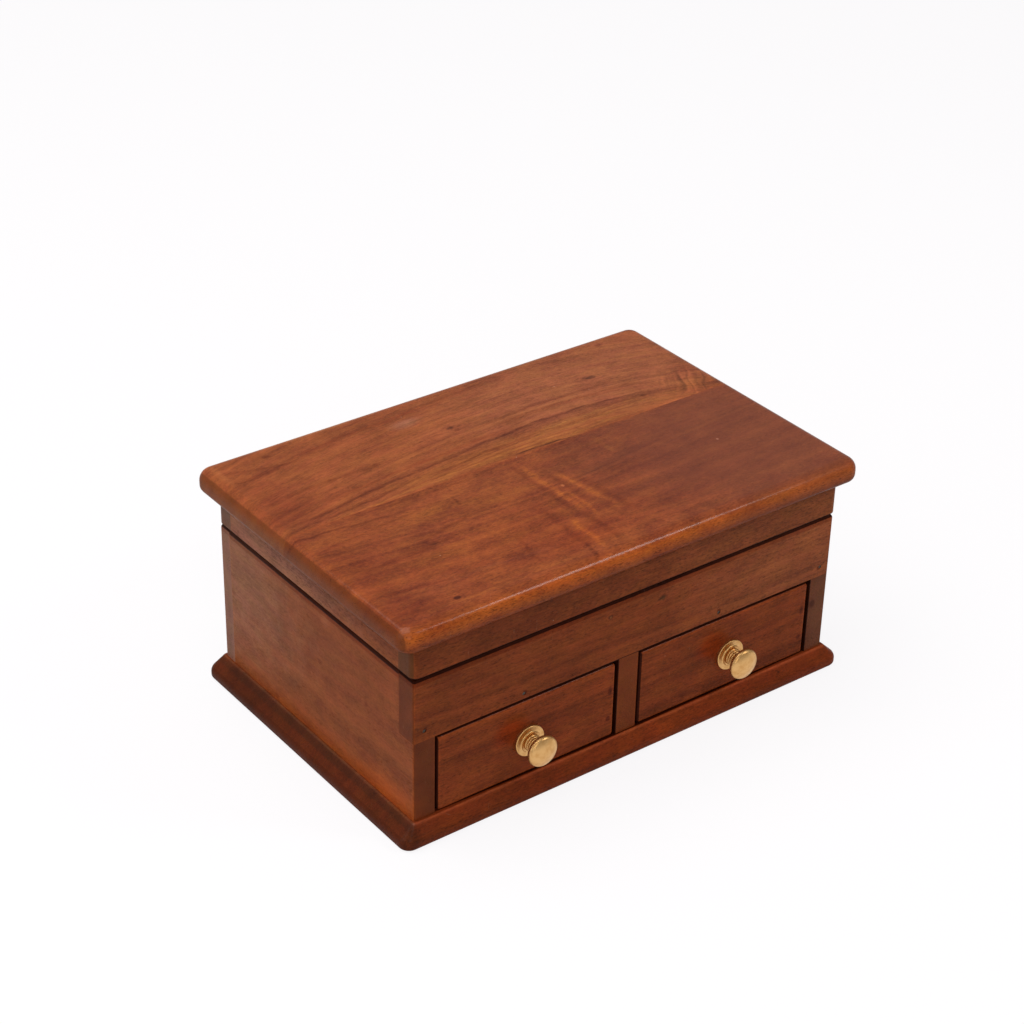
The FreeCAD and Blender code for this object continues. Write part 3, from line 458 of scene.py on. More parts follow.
def make_use_marks():
    """Masks for hair scratches and for specks of dust."""
    tree, given, out = new_group("Use Marks", [("Vector", "Place")], [("Float", "Scratches, Specks")])
    scratches = 0.0
    for turn, strength in SCRATCH_SETS:
        turned = add(
            tree, "ShaderNodeVectorRotate", {"Vector": given["Place"], "Angle": turn},
            rotation_type="Z_AXIS",
        ).outputs[0]
        thin = fade(tree, noise(tree, turned, SCRATCH_SIZE, 1.0, 0.4), 0.74, 0.84)
        scratches = calculate(tree, "MAXIMUM", times(tree, thin, strength), scratches)
    cells = add(tree, "ShaderNodeTexVoronoi", {
        "Vector": given["Place"], "Scale": SPECK_CELLS_PER_MM, "Randomness": 1.0,
    })
    chance = add(tree, "ShaderNodeSeparateColor", {0: cells.outputs["Color"]}).outputs[0]
    close = fade(tree, cells.outputs["Distance"], 0.035, 0.012)
    specks = times(tree, close, fade(tree, chance, 0.72, 0.76))
    fill(tree, out, {"Scratches": scratches, "Specks": specks})
    return tree


USE_MARKS = make_use_marks()
print("use marks group:", len(USE_MARKS.nodes), "nodes")

# %% [markdown]
# ## Varnished hardwood
# The box is stained hardwood under a thin satin varnish. Under the varnish the wood is matt,
# so the recipe has two layers: a fairly rough base that carries the grain, and a smoother
# coat over it. The coat is full on level faces, thin on upright ones, thinner where hands rub
# an edge, and left off under the painted shade along the lid's gap. Hand sanding leaves a face
# slightly wavy, and the pores sink a little, which bends the highlights.

# %% Colours as on a paint chart, and the way the grain runs
def paint(red, green, blue):
    """A colour written from 0 to 255, turned into the linear light that shaders use."""
    linear = [(part / 255 + 0.055) ** 2.4 / 1.055 ** 2.4 if part > 10 else part / 255 / 12.92
              for part in (red, green, blue)]
    return (*linear, 1.0)


GRAIN_TURNS = {"X": (0, 0, 0), "Y": (0, 0, -math.pi / 2)}
TO_MM = (1 / MM, 1 / MM, 1 / MM)


def new_finish(node):
    """A new material on a part, and the graph of its nodes."""
    material = bpy.data.materials.new(f"{node}_finish")
    material.use_nodes = True
    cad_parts[node].material_slots[0].material = material
    return material.node_tree


def board_place(tree, grain):
    """The place in mm, the same turned so that X runs along the grain, and the way the face looks."""
    seen = add(tree, "ShaderNodeTexCoord").outputs
    place = vectors(tree, "MULTIPLY", seen["Object"], TO_MM)
    along, facing = (
        add(tree, "ShaderNodeMapping", {"Vector": value, "Rotation": GRAIN_TURNS[grain]}).outputs[0]
        for value in (place, seen["Normal"])
    )
    return place, along, facing


def in_mm(corners):
    """The low and the high corner of a box, from metres to millimetres."""
    return tuple(corner / MM for corner in corners)


print("grain turns:", sorted(GRAIN_TURNS))

# %% [markdown]
# ## Marks of one board
# The marks are laid over the grain one after another. A mark never paints a flat colour over
# the wood: it multiplies what is there by a tint, so the grain still shows inside it. Only
# the core of a knot is painted.

# %% Bend the grain round knots, and ripple it
def bend_round_knots(tree, along, knots):
    """The place with the grain flowing round each knot, and the knots' cores."""
    cores = []
    for centre, radii, push in knots:
        knot = place_group(tree, KNOT, Place=along, Centre=centre, Radii=radii, Push=push)
        along = knot["Place"]
        cores.append(knot["Core"])
    return along, cores


def lay_ripples(tree, along, colour, ripples):
    """Light and dark bands; each set has a centre, radii, spacing, slope and strength."""
    for centre, radii, spacing, slope, strength in ripples:
        bands = place_group(
            tree, RIPPLE, Place=along, Centre=centre, Radii=radii, Spacing=spacing, Slope=slope,
        )["Bands"]
        colour = scale(tree, colour, calculate(tree, "MULTIPLY_ADD", bands, strength, 1.0))
    return colour


print("knots and ripples: ready")

# %% Lay patches, streaks and painted gap shade over a colour
X_AXIS, Y_AXIS = (1, 0, 0), (0, 1, 0)
STREAK_WANDER_SIZE, STREAK_WANDER = (18, 10, 10), 5.0
STREAK_GAP_SIZE = (9, 1.4, 1.4)
CALM_SOFTNESS = 0.6
SHADE_LINE_REACH = 3.0


def lay_calm(tree, place, colour, calm):
    """Plain places where the figure fades; each has a centre, radii, a share and a plain colour."""
    for centre, radii, share, plain in calm:
        mask = place_group(
            tree, PATCH, Place=place, Centre=centre, Radii=radii, Softness=CALM_SOFTNESS,
        )["Mask"]
        colour = mix_colours(tree, times(tree, mask, share), colour, plain)
    return colour


def lay_patches(tree, place, colour, patches):
    """Soft-edged places; each has a centre, radii, softness and tint."""
    for centre, radii, softness, tint in patches:
        mask = place_group(tree, PATCH, Place=place, Centre=centre, Radii=radii, Softness=softness)["Mask"]
        colour = tinted(tree, mask, colour, (*tint, 1))
    return colour


def lay_streaks(tree, along, colour, streaks, cross_streaks):
    """Thin lines; each has its middle as X and Y, half its length, width, slope, bow and tint."""
    wander = noise(tree, along, STREAK_WANDER_SIZE, 2.0, 0.5)
    wander = swing(tree, wander, STREAK_WANDER)
    broken = fade(tree, noise(tree, along, STREAK_GAP_SIZE, 3.0, 0.65), 0.3, 0.62, 0.25, 1.0)
    for lines, direction, across in ((streaks, X_AXIS, Y_AXIS), (cross_streaks, Y_AXIS, X_AXIS)):
        for x, y, half_length, width, slope, bow, tint in lines:
            mask = place_group(
                tree, STREAK, Place=along, Middle=(x, y, 0), Along=direction, Across=across,
                Half_Length=half_length, Width=width, Slope=slope, Bow=bow, Wander=wander, Broken=broken,
            )["Mask"]
            colour = tinted(tree, mask, colour, (*tint, 1))
    return colour


def lay_lid_gap_shade(tree, place, colour, outer, lid_gap_shade):
    """Painted shade lines along the lid's gap, each with a height, thickness and tint; also gives 1 where
    none is painted and the coat stays.
    """
    unshaded = 1.0
    for height, thickness, tint in lid_gap_shade:
        mask = place_group(
            tree, UNDER_LID_SHADE, Place=place, Half_Size=outer, Height=height, Thickness=thickness, Reach=SHADE_LINE_REACH,
        )["Mask"]
        unshaded = times(tree, unshaded, calculate(tree, "SUBTRACT", 1.0, mask))
        colour = tinted(tree, mask, colour, (*tint, 1))
    return colour, unshaded


print("patches, streaks and rim lines: ready")

# %% Wear, varnish and relief
KNOT_CORE, KNOT_SHARE = paint(58, 26, 16), 0.75
RUBBED = (1.55, 1.5, 1.35, 1)
SCRATCH_PALE, SCRATCH_SHARE = paint(190, 140, 110), 0.14
DUST, DUST_SHARE = paint(205, 165, 140), 0.45
VARNISH_WHERE_RUBBED, VARNISH_ON_UPRIGHTS = 0.75, 0.3
ROUGHNESS, PORES_ROUGHEN, SCRATCHES_ROUGHEN = 0.42, 0.18, 0.2
EDGE_REACH = 2.2
SANDING_SIZE, SANDING_DEPTH = (40, 14, 14), 0.25
GRAIN_DEPTH = 0.1


def wear_and_dust(tree, colour, edge, marks, worn):
    """Stain rubbed thin at the edges, pale scratches and specks of dust."""
    colour = tinted(tree, times(tree, edge, worn), colour, RUBBED)
    colour = mix_colours(tree, times(tree, marks["Scratches"], SCRATCH_SHARE), colour, SCRATCH_PALE)
    return mix_colours(tree, times(tree, marks["Specks"], DUST_SHARE), colour, DUST)


def varnish_coat(tree, facing, edge, unshaded, varnish):
    """How much clear coat there is: less on upright faces, at rubbed edges, and none under the painted gap
    shade.
    """
    level = calculate(tree, "ABSOLUTE", axes(tree, facing)["Z"])
    coat = fade(tree, edge, 0.0, 1.0, varnish, varnish * VARNISH_WHERE_RUBBED)
    coat = times(tree, coat, fade(tree, level, 0.3, 0.95, VARNISH_ON_UPRIGHTS, 1.0))
    return times(tree, coat, unshaded)


def sanded_relief(tree, along, relief):
    """The slow waves of hand sanding, with fibres and pores on top of them."""
    wave = noise(tree, along, SANDING_SIZE, 2.0, 0.5)
    sanding = add(tree, "ShaderNodeBump", {"Height": wave, "Distance": SANDING_DEPTH * MM, "Strength": 0.5})
    return add(tree, "ShaderNodeBump", {
        "Height": relief, "Distance": GRAIN_DEPTH * MM, "Strength": 0.6, "Normal": sanding.outputs[0],
    }).outputs[0]


print("wear, varnish and relief: ready")

# %% The varnished board recipe
def varnished_board(
    node, grain="X", heart=(-30.0, -90.0), ring_width=5.0, wander=9.0, rise=0.0, fall=0.0,
    light=paint(176, 98, 54), dark=paint(104, 50, 28), end=(0.62, 0.6, 0.68, 1),
    ring_depth=0.6, line_depth=0.1, fibre_depth=0.75, pore_depth=0.28, blotch_depth=0.9,
    shift=(0.0, 0.0, 0.0), knots=(), ripples=(), calm=(), patches=(), streaks=(), cross_streaks=(),
    worn=0.2, varnish=0.15, outer=(0.0, 0.0, 0.0), lid_gap_shade=(),
):
    """Stained hardwood under satin varnish, with the marks that belong to this board."""
    tree = new_finish(node)
    place, along, facing = board_place(tree, grain)
    bent, cores = bend_round_knots(tree, along, knots)
    timber = place_group(
        tree, TIMBER, Place=vectors(tree, "ADD", bent, shift), Facing=facing,
        Heart=(0, heart[0], heart[1]), Ring_Width=ring_width, Wander=wander, Rise=rise, Fall=fall,
        Light=light, Dark=dark, End=end, Ring_Depth=ring_depth, Line_Depth=line_depth,
        Fibre_Depth=fibre_depth, Pore_Depth=pore_depth, Blotch_Depth=blotch_depth,
    )
    colour = lay_ripples(tree, along, timber["Colour"], ripples)
    colour = lay_calm(tree, place, colour, calm)
    colour = lay_patches(tree, place, colour, patches)
    colour = lay_streaks(tree, along, colour, streaks, cross_streaks)
    for core in cores:
        colour = mix_colours(tree, times(tree, core, KNOT_SHARE), colour, KNOT_CORE)
    colour, unshaded = lay_lid_gap_shade(tree, place, colour, outer, lid_gap_shade)

    low, high = in_mm(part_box(node))
    edge = place_group(tree, BOARD_EDGES, Place=place, Low=low, High=high, Reach=EDGE_REACH)["Edge"]
    marks = place_group(tree, USE_MARKS, Place=place)
    rough = calculate(tree, "MULTIPLY_ADD", timber["Pores"], PORES_ROUGHEN, ROUGHNESS)
    fill(tree, tree.nodes["Principled BSDF"], {
        "Base Color": wear_and_dust(tree, colour, edge, marks, worn),
        "Roughness": calculate(tree, "MULTIPLY_ADD", marks["Scratches"], SCRATCHES_ROUGHEN, rough),
        "Specular IOR Level": 0.03,
        "Coat Weight": varnish_coat(tree, facing, edge, unshaded, varnish),
        "Coat Roughness": 0.14, "Coat IOR": 1.45,
        "Normal": sanded_relief(tree, along, timber["Relief"]),
    })


print("varnished board recipe ready")

# %% [markdown]
# ## The lid
# The lid's top is two boards glued edge to edge. The rear one is straight-grained and more
# orange, with a golden strip beside the glue line, two pin knots, and a curled figure at its
# right end. The front one is redder; ripples cross it near the middle, and beyond them it
# turns dark and plain. Under the top runs a frame of four narrower pieces.
#
# Every mark is written as a row: where it is in mm from the middle of the box, how far it
# reaches, and its tint. A tint below 1 darkens, above 1 brightens, and a plain 1 does nothing.

# %% Tints that many marks share, and the faces they lie on
DARK_LINE = (0.55, 0.45, 0.45)
SOFT_DARK = (0.78, 0.7, 0.66)
RED_BAND = (0.86, 0.72, 0.68)
GOLD_LINE = (1.18, 1.32, 1.15)
SOFT_GOLD = (1.04, 1.12, 0.95)
RIPPLE_GOLD = (1.5, 1.62, 1.15)
# A pale painted sheen: the whitish reflection of a bright surround on the varnish.
PAINTED_SHEEN_VEIL = (1.06, 1.2, 1.5)
# Near-black painted shade for the narrow gaps and seams between parts.
PAINTED_GAP_SHADE = (0.16, 0.13, 0.13)
# The lid's end grain: darker, and greyer as a painted whitish sheen on the lid's ends.
LID_END_GRAIN_AND_SHEEN = (0.66, 0.68, 0.64, 1)
FAR = 1000.0
body_low, body_high = in_mm(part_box("side_left"))
_, lid_high = in_mm(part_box("lid_top_front_board"))
TOP = math.floor(lid_high.z)
FRONT, LEFT = math.ceil(body_low.y), math.ceil(body_low.x)
print("whole millimetres just inside the top, front and left faces:", TOP, FRONT, LEFT)

# %% Rear board of the lid
varnished_board(
    "lid_top_rear_board", heart=(-62.0, 40.0), ring_width=7.0, wander=7.0, rise=9.0, fall=18.0,
    shift=(-28.0, 0.0, 0.0), light=paint(177, 96, 52), dark=paint(103, 46, 24), varnish=0.34, end=LID_END_GRAIN_AND_SHEEN,
    knots=[((72, 50.5, TOP), (4.5, 2.8, 8), 0.8), ((-11.5, 47.5, TOP), (4.0, 2.6, 8), 0.8)],
    ripples=[((112, 20, TOP), (17, 15, 30), 3.4, -0.6, 0.75)],
    patches=[
        # Painted sheen over the rear right of the top.
        ((70, 50, TOP), (90, 40, 12), 0.6, PAINTED_SHEEN_VEIL),
        ((20, 16, TOP), (100, 9, 12), 0.5, SOFT_GOLD),
        ((-118, 45, TOP), (16, 30, 8), 0.9, (0.93, 0.86, 0.84)),
        ((-106, 40, TOP), (30, 50, 8), 0.9, (0.95, 0.92, 0.92)),
        ((-114, 24, TOP), (18, 16, 8), 0.9, (0.9, 0.82, 0.84)),
        ((-27, 63, TOP), (8, 4, 8), 0.9, (1.05, 1.4, 2.1)),
        # Painted whitish sheen on the lid's left end.
        ((-129, 24, 108), (3, 44, 6), 0.9, (1.06, 1.16, 1.2)),
        ((-94, 22, TOP), (26, 15, 6), 0.9, (0.95, 0.91, 0.89)),
        ((64, 22, TOP), (40, 14, 6), 0.9, (0.96, 0.93, 0.96)),
        ((-97, 73.3, TOP), (2.4, 1.5, 8), 0.8, (0.62, 0.5, 0.48)),
        ((-117, 35.5, TOP), (2.0, 1.4, 8), 0.8, SOFT_DARK),
        ((-83.7, 38, TOP), (3.4, 2.2, 8), 0.9, SOFT_DARK),
        ((99, 75, TOP), (2.6, 1.6, 8), 0.8, (0.66, 0.56, 0.54)),
        ((-70, 81.5, TOP), (55, 2.4, 6), 0.7, (1.25, 1.5, 1.6)),
        ((-122.5, 70, 112), (2.4, 16, 4), 0.7, (1.3, 1.5, 1.5)),
        ((-60, 38.5, TOP), (2.4, 1.2, 8), 0.6, SOFT_DARK),
        ((84, 21, TOP), (2.0, 1.6, 8), 0.7, SOFT_DARK),
        ((75, 50, TOP), (2.2, 1.6, 8), 0.5, (0.6, 0.6, 0.65)),
        ((-10, 44, TOP), (1.8, 1.4, 8), 0.6, SOFT_DARK),
    ],
    streaks=[
        (-92, 62, 42, 3.2, 5.0, 0, SOFT_DARK), (-106, 66, 20, 2.0, -6.0, 0, SOFT_DARK),
        (10, 74, 40, 1.6, 1.5, 0, SOFT_DARK), (-35, 70.5, 60, 2.4, 4.0, 2.0, RED_BAND),
        (-82, 38.5, 34, 2.0, 1.0, 1.0, SOFT_DARK), (40, 42.5, 60, 2.2, 0.5, 3.0, SOFT_DARK),
        (45, 37.5, 44, 2.6, -3.0, 4.0, RED_BAND), (78, 36, 18, 2.4, -4.0, 2.0, SOFT_DARK),
        (-66, 20.5, 66, 1.7, 7.0, 1.0, DARK_LINE), (-40, 28.5, 60, 2.4, 5.0, 1.5, RED_BAND),
        (34, 29.5, 60, 1.4, -1.0, 7.0, DARK_LINE), (30, 24.5, 66, 1.0, 0, 6.0, SOFT_DARK),
        (-52, 16.5, 70, 1.2, 5.0, 1.0, SOFT_DARK), (22, 20.2, 76, 1.2, 1.0, 5.0, SOFT_DARK),
        (-90, 12.5, 36, 1.1, 3.0, 0, DARK_LINE), (0, 14.6, 80, 0.9, 2.0, 3.0, SOFT_DARK),
        (-40, 10.0, 70, 0.9, 1.0, 0, GOLD_LINE), (-14, 12.6, 80, 1.1, 2.5, 2.0, GOLD_LINE),
        (25, 17.5, 80, 1.0, 2.5, 4.0, GOLD_LINE), (34, 11.0, 44, 1.3, 0.5, 1.0, GOLD_LINE),
        (50, 22.3, 44, 0.9, 0, 4.0, GOLD_LINE), (17, 9.2, 21, 0.7, -0.4, 0.7, (0.2, 0.17, 0.2)),
    ],
)
print("rear board of the lid finished")

# %% Front board of the lid
varnished_board(
    "lid_top_front_board", heart=(-120.0, 66.0), ring_width=6.0, wander=12.0, rise=-4.0, fall=-4.0,
    light=paint(168, 88, 44), dark=paint(100, 41, 24), varnish=0.34, end=LID_END_GRAIN_AND_SHEEN, pore_depth=0.38,
    ring_depth=0.5, fibre_depth=0.5, blotch_depth=1.3,
    ripples=[((-5, -38, TOP), (22, 44, 30), 5.0, 0.12, 0.2)],
    calm=[((100, -36, TOP), (86, 62, 30), 0.5, paint(134, 72, 46))],
    patches=[
        ((96, -38, TOP), (80, 72, 30), 0.6, (0.82, 0.84, 1.02)),
        ((24, -10, TOP), (24, 18, 8), 0.9, (0.84, 0.86, 0.96)),
        ((-82, -42, TOP), (18, 7, 8), 1.0, SOFT_GOLD),
        ((-32, -16, TOP), (16, 8, 8), 1.0, SOFT_GOLD),
        ((-42, -44, TOP), (16, 9, 8), 1.0, SOFT_GOLD),
        ((-28, -48, TOP), (20, 30, 8), 0.8, (0.95, 0.9, 0.92)),
        ((-60, -10, TOP), (20, 6, 8), 1.0, SOFT_GOLD),
        ((-118, -40, TOP), (12, 34, 8), 0.9, (0.9, 0.84, 0.8)),
        ((-106, -40, TOP), (30, 50, 8), 0.9, (0.95, 0.9, 0.9)),
        ((-118, -72, TOP), (24, 14, 8), 0.9, (0.86, 0.76, 0.76)),
        ((-100, -62, TOP), (22, 9, 8), 0.9, (1.0, 1.06, 1.25)),
        ((-19, -66, TOP), (22, 10, 8), 0.9, (0.94, 0.86, 0.8)),
        ((38, -10.3, TOP), (2.2, 3.2, 8), 0.6, GOLD_LINE),
        ((85.2, -32, TOP), (0.7, 0.9, 4), 0.3, (1.8, 2.6, 3.4)),
        ((-93.7, -73.2, TOP), (2.2, 1.4, 4), 0.4, (0.3, 0.25, 0.35)),
        ((32, -40, TOP), (58, 48, 8), 0.9, (0.93, 0.88, 0.91)),
        ((-46, -56, TOP), (56, 34, 8), 0.9, (1.0, 0.92, 0.88)),
        ((24, -64, TOP), (34, 14, 8), 0.9, (0.96, 0.93, 0.93)),
        # Painted whitish sheen on the lid's left end.
        ((-129, -8, 108), (3, 16, 6), 0.9, (1.06, 1.16, 1.2)),
        ((-19, -8, TOP), (22, 14, 6), 0.9, (0.93, 0.92, 0.98)),
        ((62, -28, TOP), (62, 38, 8), 0.9, (0.96, 0.95, 0.95)),
        ((-98, -64, TOP), (24, 13, 8), 0.9, (0.98, 0.93, 0.91)),
        ((-0.7, -25, TOP), (0.8, 1.3, 4), 0.4, (1.7, 2.2, 2.6)),
        # Painted light on the lid's front edge: lighter and more golden on its upper part, painted shade
        # on its lower part, and a pale painted highlight along the top rounding.
        ((0, -85, 111.3), (FAR, 3.6, 4.4), 0.7, (1.5, 1.4, 0.85)),
        ((0, -84, 104), (FAR, 6, 3), 0.7, (0.9, 0.78, 0.6)),
        ((10, -82.6, 115), (105, 0.9, 0.9), 0.9, (1.6, 1.9, 2.3)),
    ],
    streaks=[
        (-104, 1.0, 32, 1.3, -4.0, 0, DARK_LINE), (-70, -26, 26, 1.6, 6.0, 0.5, SOFT_DARK),
        (-96, -8, 32, 1.2, 3.0, 0, SOFT_DARK), (-50, 4.5, 40, 2.0, -1.0, 0, SOFT_DARK),
        (-98, -58, 26, 2.0, -3.0, 0, SOFT_DARK),
        (-60, -62, 34, 1.8, -2.0, 0, (0.9, 0.95, 1.2)),
        (-70, -76, 50, 1.4, 0, 0, GOLD_LINE), (-88, -34, 30, 2.2, 2.0, 0, SOFT_DARK),
    ],
    cross_streaks=[
        (-9.8, -20, 28, 2.6, 0, 0, SOFT_DARK),
        (-6.0, -24, 28, 2.6, 0, 0, RIPPLE_GOLD),
        (-15.0, -46, 20, 4.2, 2.0, 0, SOFT_GOLD), (0.6, -28, 18, 3.4, -1.0, 0, SOFT_DARK),
        (-2.6, -42, 13, 2.0, 0, 0, RIPPLE_GOLD),
        (6.4, -32, 24, 3.0, -3.4, 0, RIPPLE_GOLD),
        (-22.5, -54, 26, 3.6, 1.5, 0, SOFT_DARK),
        (-16.5, -64, 16, 3.0, 1.0, 0, RIPPLE_GOLD),
        (-7.5, -62, 18, 3.4, 0, 0, SOFT_DARK), (12, -42, 24, 4.0, -3.4, 0, SOFT_DARK),
        (-48, -8.5, 4.5, 1.4, 0, 0, DARK_LINE), (38, -2, 8, 3.0, 0.5, 0, SOFT_GOLD),
        (-24.5, -76, 7, 2.0, 1.0, 0, DARK_LINE), (-46.5, -60, 14, 2.2, 2.0, 0, SOFT_DARK),
    ],
)
print("front board of the lid finished")

# %% The four pieces of the lid's frame
FRONT_STAIN = (paint(150, 75, 38), paint(82, 35, 16))
SIDE_STAIN = (paint(158, 84, 44), paint(88, 41, 19))
FRAME_LOOKS = {
    "lid_frame_front": ("X", (-140.0, 60.0), FRONT_STAIN),
    "lid_frame_back": ("X", (120.0, 70.0), FRONT_STAIN),
    "lid_frame_left": ("Y", (90.0, 60.0), SIDE_STAIN),
    "lid_frame_right": ("Y", (-95.0, 70.0), SIDE_STAIN),
}
FRAME_END = (0.62, 0.88, 1.06, 1)
frame_low, _ = in_mm(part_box("lid_frame_front"))
LID_OUTER = (-frame_low.x, -frame_low.y, 0.0)
# Painted shade along the lower edge of the lid's frame, just above the gap.
LID_GAP_SHADE_LINES = ((frame_low.z, 0.75, PAINTED_GAP_SHADE),)
FRAME_FRONT = math.ceil(frame_low.y)
for node, (grain, heart, (light, dark)) in FRAME_LOOKS.items():
    varnished_board(
        node, grain, heart, ring_width=4.0, wander=6.0, light=light, dark=dark,
        shift=(0.0, heart[0] * 3, 0.0), end=FRAME_END,
        patches=[
            # Painted whitish sheen towards the right of the frame's front and along its left side.
            ((112, FRAME_FRONT, 94), (100, 8, 20), 0.7, (1.25, 1.5, 1.7)),
            ((-120, 38, 94), (12, 72, 20), 0.8, (1.24, 1.85, 3.5)),
            ((48, FRAME_FRONT, 94), (32, 6, 14), 0.9, (1.07, 1.05, 1.09)),
        ],
        outer=LID_OUTER, lid_gap_shade=LID_GAP_SHADE_LINES,
    )
print("lid frame finished:", len(FRAME_LOOKS), "pieces")

# %% [markdown]
# ## The body
# The rail, the drawer fronts and the back run their grain from left to right; the sides run
# it from front to back, so their narrow front faces, beside the drawers, are end grain.

# %% Sides, rail, back, divider and floor
BODY_OUTER = (-body_low.x, -body_low.y, 0.0)
# Painted shade along the gap under the lid: a near-black line at the body's top edge, and below
# it a softer darker band on the rounded edge, which lies in the lid's shadow.
BODY_GAP_SHADE_LINES = ((body_high.z - 0.5, 0.95, PAINTED_GAP_SHADE), (body_high.z - 2.0, 1.5, (0.8, 0.68, 0.66)))
LEFT_GAP_SHADE_LINES = ((body_high.z - 0.8, 1.5, PAINTED_GAP_SHADE), (body_high.z - 2.8, 1.6, (0.8, 0.66, 0.6)))
divider_low, _ = in_mm(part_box("drawer_divider"))
varnished_board(
    "side_left", "Y", (70.0, 150.0), ring_width=9.0, wander=14.0, light=paint(156, 82, 42),
    dark=paint(94, 43, 20), fibre_depth=0.55, line_depth=0.04, ring_depth=0.4, blotch_depth=0.9,
    pore_depth=0.14,
    patches=[
        # Painted whitish sheen towards the rear of the left side.
        ((LEFT, 72, 64), (10, 62, 46), 0.8, (1.13, 1.74, 3.1)),
        ((LEFT, -12, 65), (4, 20, 15), 0.9, (0.95, 1.0, 1.08)),
        ((LEFT, -12, 32), (4, 20, 16), 0.9, (1.06, 1.08, 1.05)),
        ((LEFT, 54, 32), (4, 18, 16), 0.9, (1.07, 1.06, 1.04)),
        ((LEFT, -60, 14), (9, 30, 12), 0.8, (1.3, 1.1, 0.8)),
        ((LEFT, 0, 14), (9, 78, 7), 0.8, (1.12, 1.0, 0.8)),
        ((LEFT, -9.5, 79), (4, 5, 4), 0.8, (1.15, 1.3, 1.5)),
        ((LEFT, -5, 54), (4, 1.6, 1.4), 0.6, SOFT_DARK),
        ((LEFT, 69, 52), (4, 1.8, 1.6), 0.6, SOFT_DARK),
        ((LEFT, 33, 14), (4, 2.2, 1.6), 0.6, SOFT_DARK),
        ((LEFT, -42, 53), (4, 1.4, 1.4), 0.6, SOFT_DARK),
    ],
    outer=BODY_OUTER, lid_gap_shade=LEFT_GAP_SHADE_LINES,
)
varnished_board(
    "side_right", "Y", (-60.0, 120.0), ring_width=8.0, wander=12.0, light=paint(152, 80, 42),
    dark=paint(90, 42, 20), fibre_depth=0.6, line_depth=0.08, ring_depth=0.6, blotch_depth=1.2,
    patches=[
        ((111, FRONT, 38), (2.0, 4, 2.4), 0.6, DARK_LINE),
        # Painted whitish sheen on the narrow front face of the right side.
        ((116, FRONT, 34), (9, 5, 40), 0.6, (1.2, 1.6, 2.2)),
        # Painted shade in the gap beside the right drawer.
        ((108.5, FRONT, 0), (0.4, 5, FAR), 0.3, PAINTED_GAP_SHADE),
    ],
    outer=BODY_OUTER, lid_gap_shade=BODY_GAP_SHADE_LINES,
)
varnished_board(
    "front_rail", heart=(-160.0, 20.0), ring_width=5.0, wander=9.0, light=paint(152, 74, 36),
    dark=paint(84, 36, 17), end=(0.66, 0.68, 0.66, 1),
    knots=[((16.2, FRONT, 76.6), (4.2, 9, 2.6), 0.5), ((-13.6, FRONT, 77.3), (2.8, 9, 2.2), 0.5)],
    patches=[
        # Painted whitish sheen towards the right of the rail.
        ((112, FRONT, 68), (84, 12, 36), 0.8, (1.4, 1.75, 2.3)),
        ((-86, FRONT, 68), (30, 4, 16), 0.9, (1.04, 1.05, 1.08)),
        ((46, FRONT, 68), (30, 4, 18), 0.9, (1.06, 1.06, 1.06)),
        ((-13.6, FRONT, 77.3), (0.7, 4, 0.6), 0.3, (2.6, 4.0, 4.6)),
        ((16.2, FRONT, 76.6), (1.6, 4, 1.0), 0.4, (0.9, 1.5, 1.4)),
        ((-60.5, FRONT, 56), (1.3, 4, 1.3), 0.4, DARK_LINE),
        ((-113.7, FRONT, 58), (1.3, 4, 1.3), 0.4, DARK_LINE),
        ((51, FRONT, 56.5), (1.3, 4, 1.3), 0.4, DARK_LINE),
        ((113, FRONT, 57.3), (1.3, 4, 1.3), 0.4, DARK_LINE),
        # Painted shade along the gap above the drawers, on the rail's lower edge.
        ((0, FRONT, 52.5), (107, 6, 0.45), 0.2, PAINTED_GAP_SHADE),
    ],
    outer=BODY_OUTER, lid_gap_shade=BODY_GAP_SHADE_LINES,
)
varnished_board(
    "back_panel", heart=(150.0, 30.0), ring_width=6.0, wander=10.0, light=paint(156, 82, 44),
    dark=paint(94, 44, 22), shift=(40.0, 0.0, 0.0), end=(1.02, 1.8, 3.8, 1),
    outer=BODY_OUTER, lid_gap_shade=BODY_GAP_SHADE_LINES,
)
varnished_board(
    "drawer_divider", "Y", (80.0, 40.0), ring_width=9.0, wander=5.0, light=paint(145, 71, 34),
    dark=paint(100, 46, 21), shift=(0.0, 33.0, 0.0), end=(0.95, 0.95, 0.95, 1), ring_depth=0.3,
    # The patch is painted shade in the narrow gap beside the divider's left face.
    patches=[((divider_low.x, FRONT, 0), (0.45, 7, FAR), 0.2, PAINTED_GAP_SHADE)],
)
varnished_board(
    "compartment_floor", heart=(20.0, -50.0), ring_width=7.0, wander=10.0, light=paint(172, 108, 70),
    dark=paint(122, 68, 42), shift=(90.0, 20.0, 0.0),
)
print("body finished")

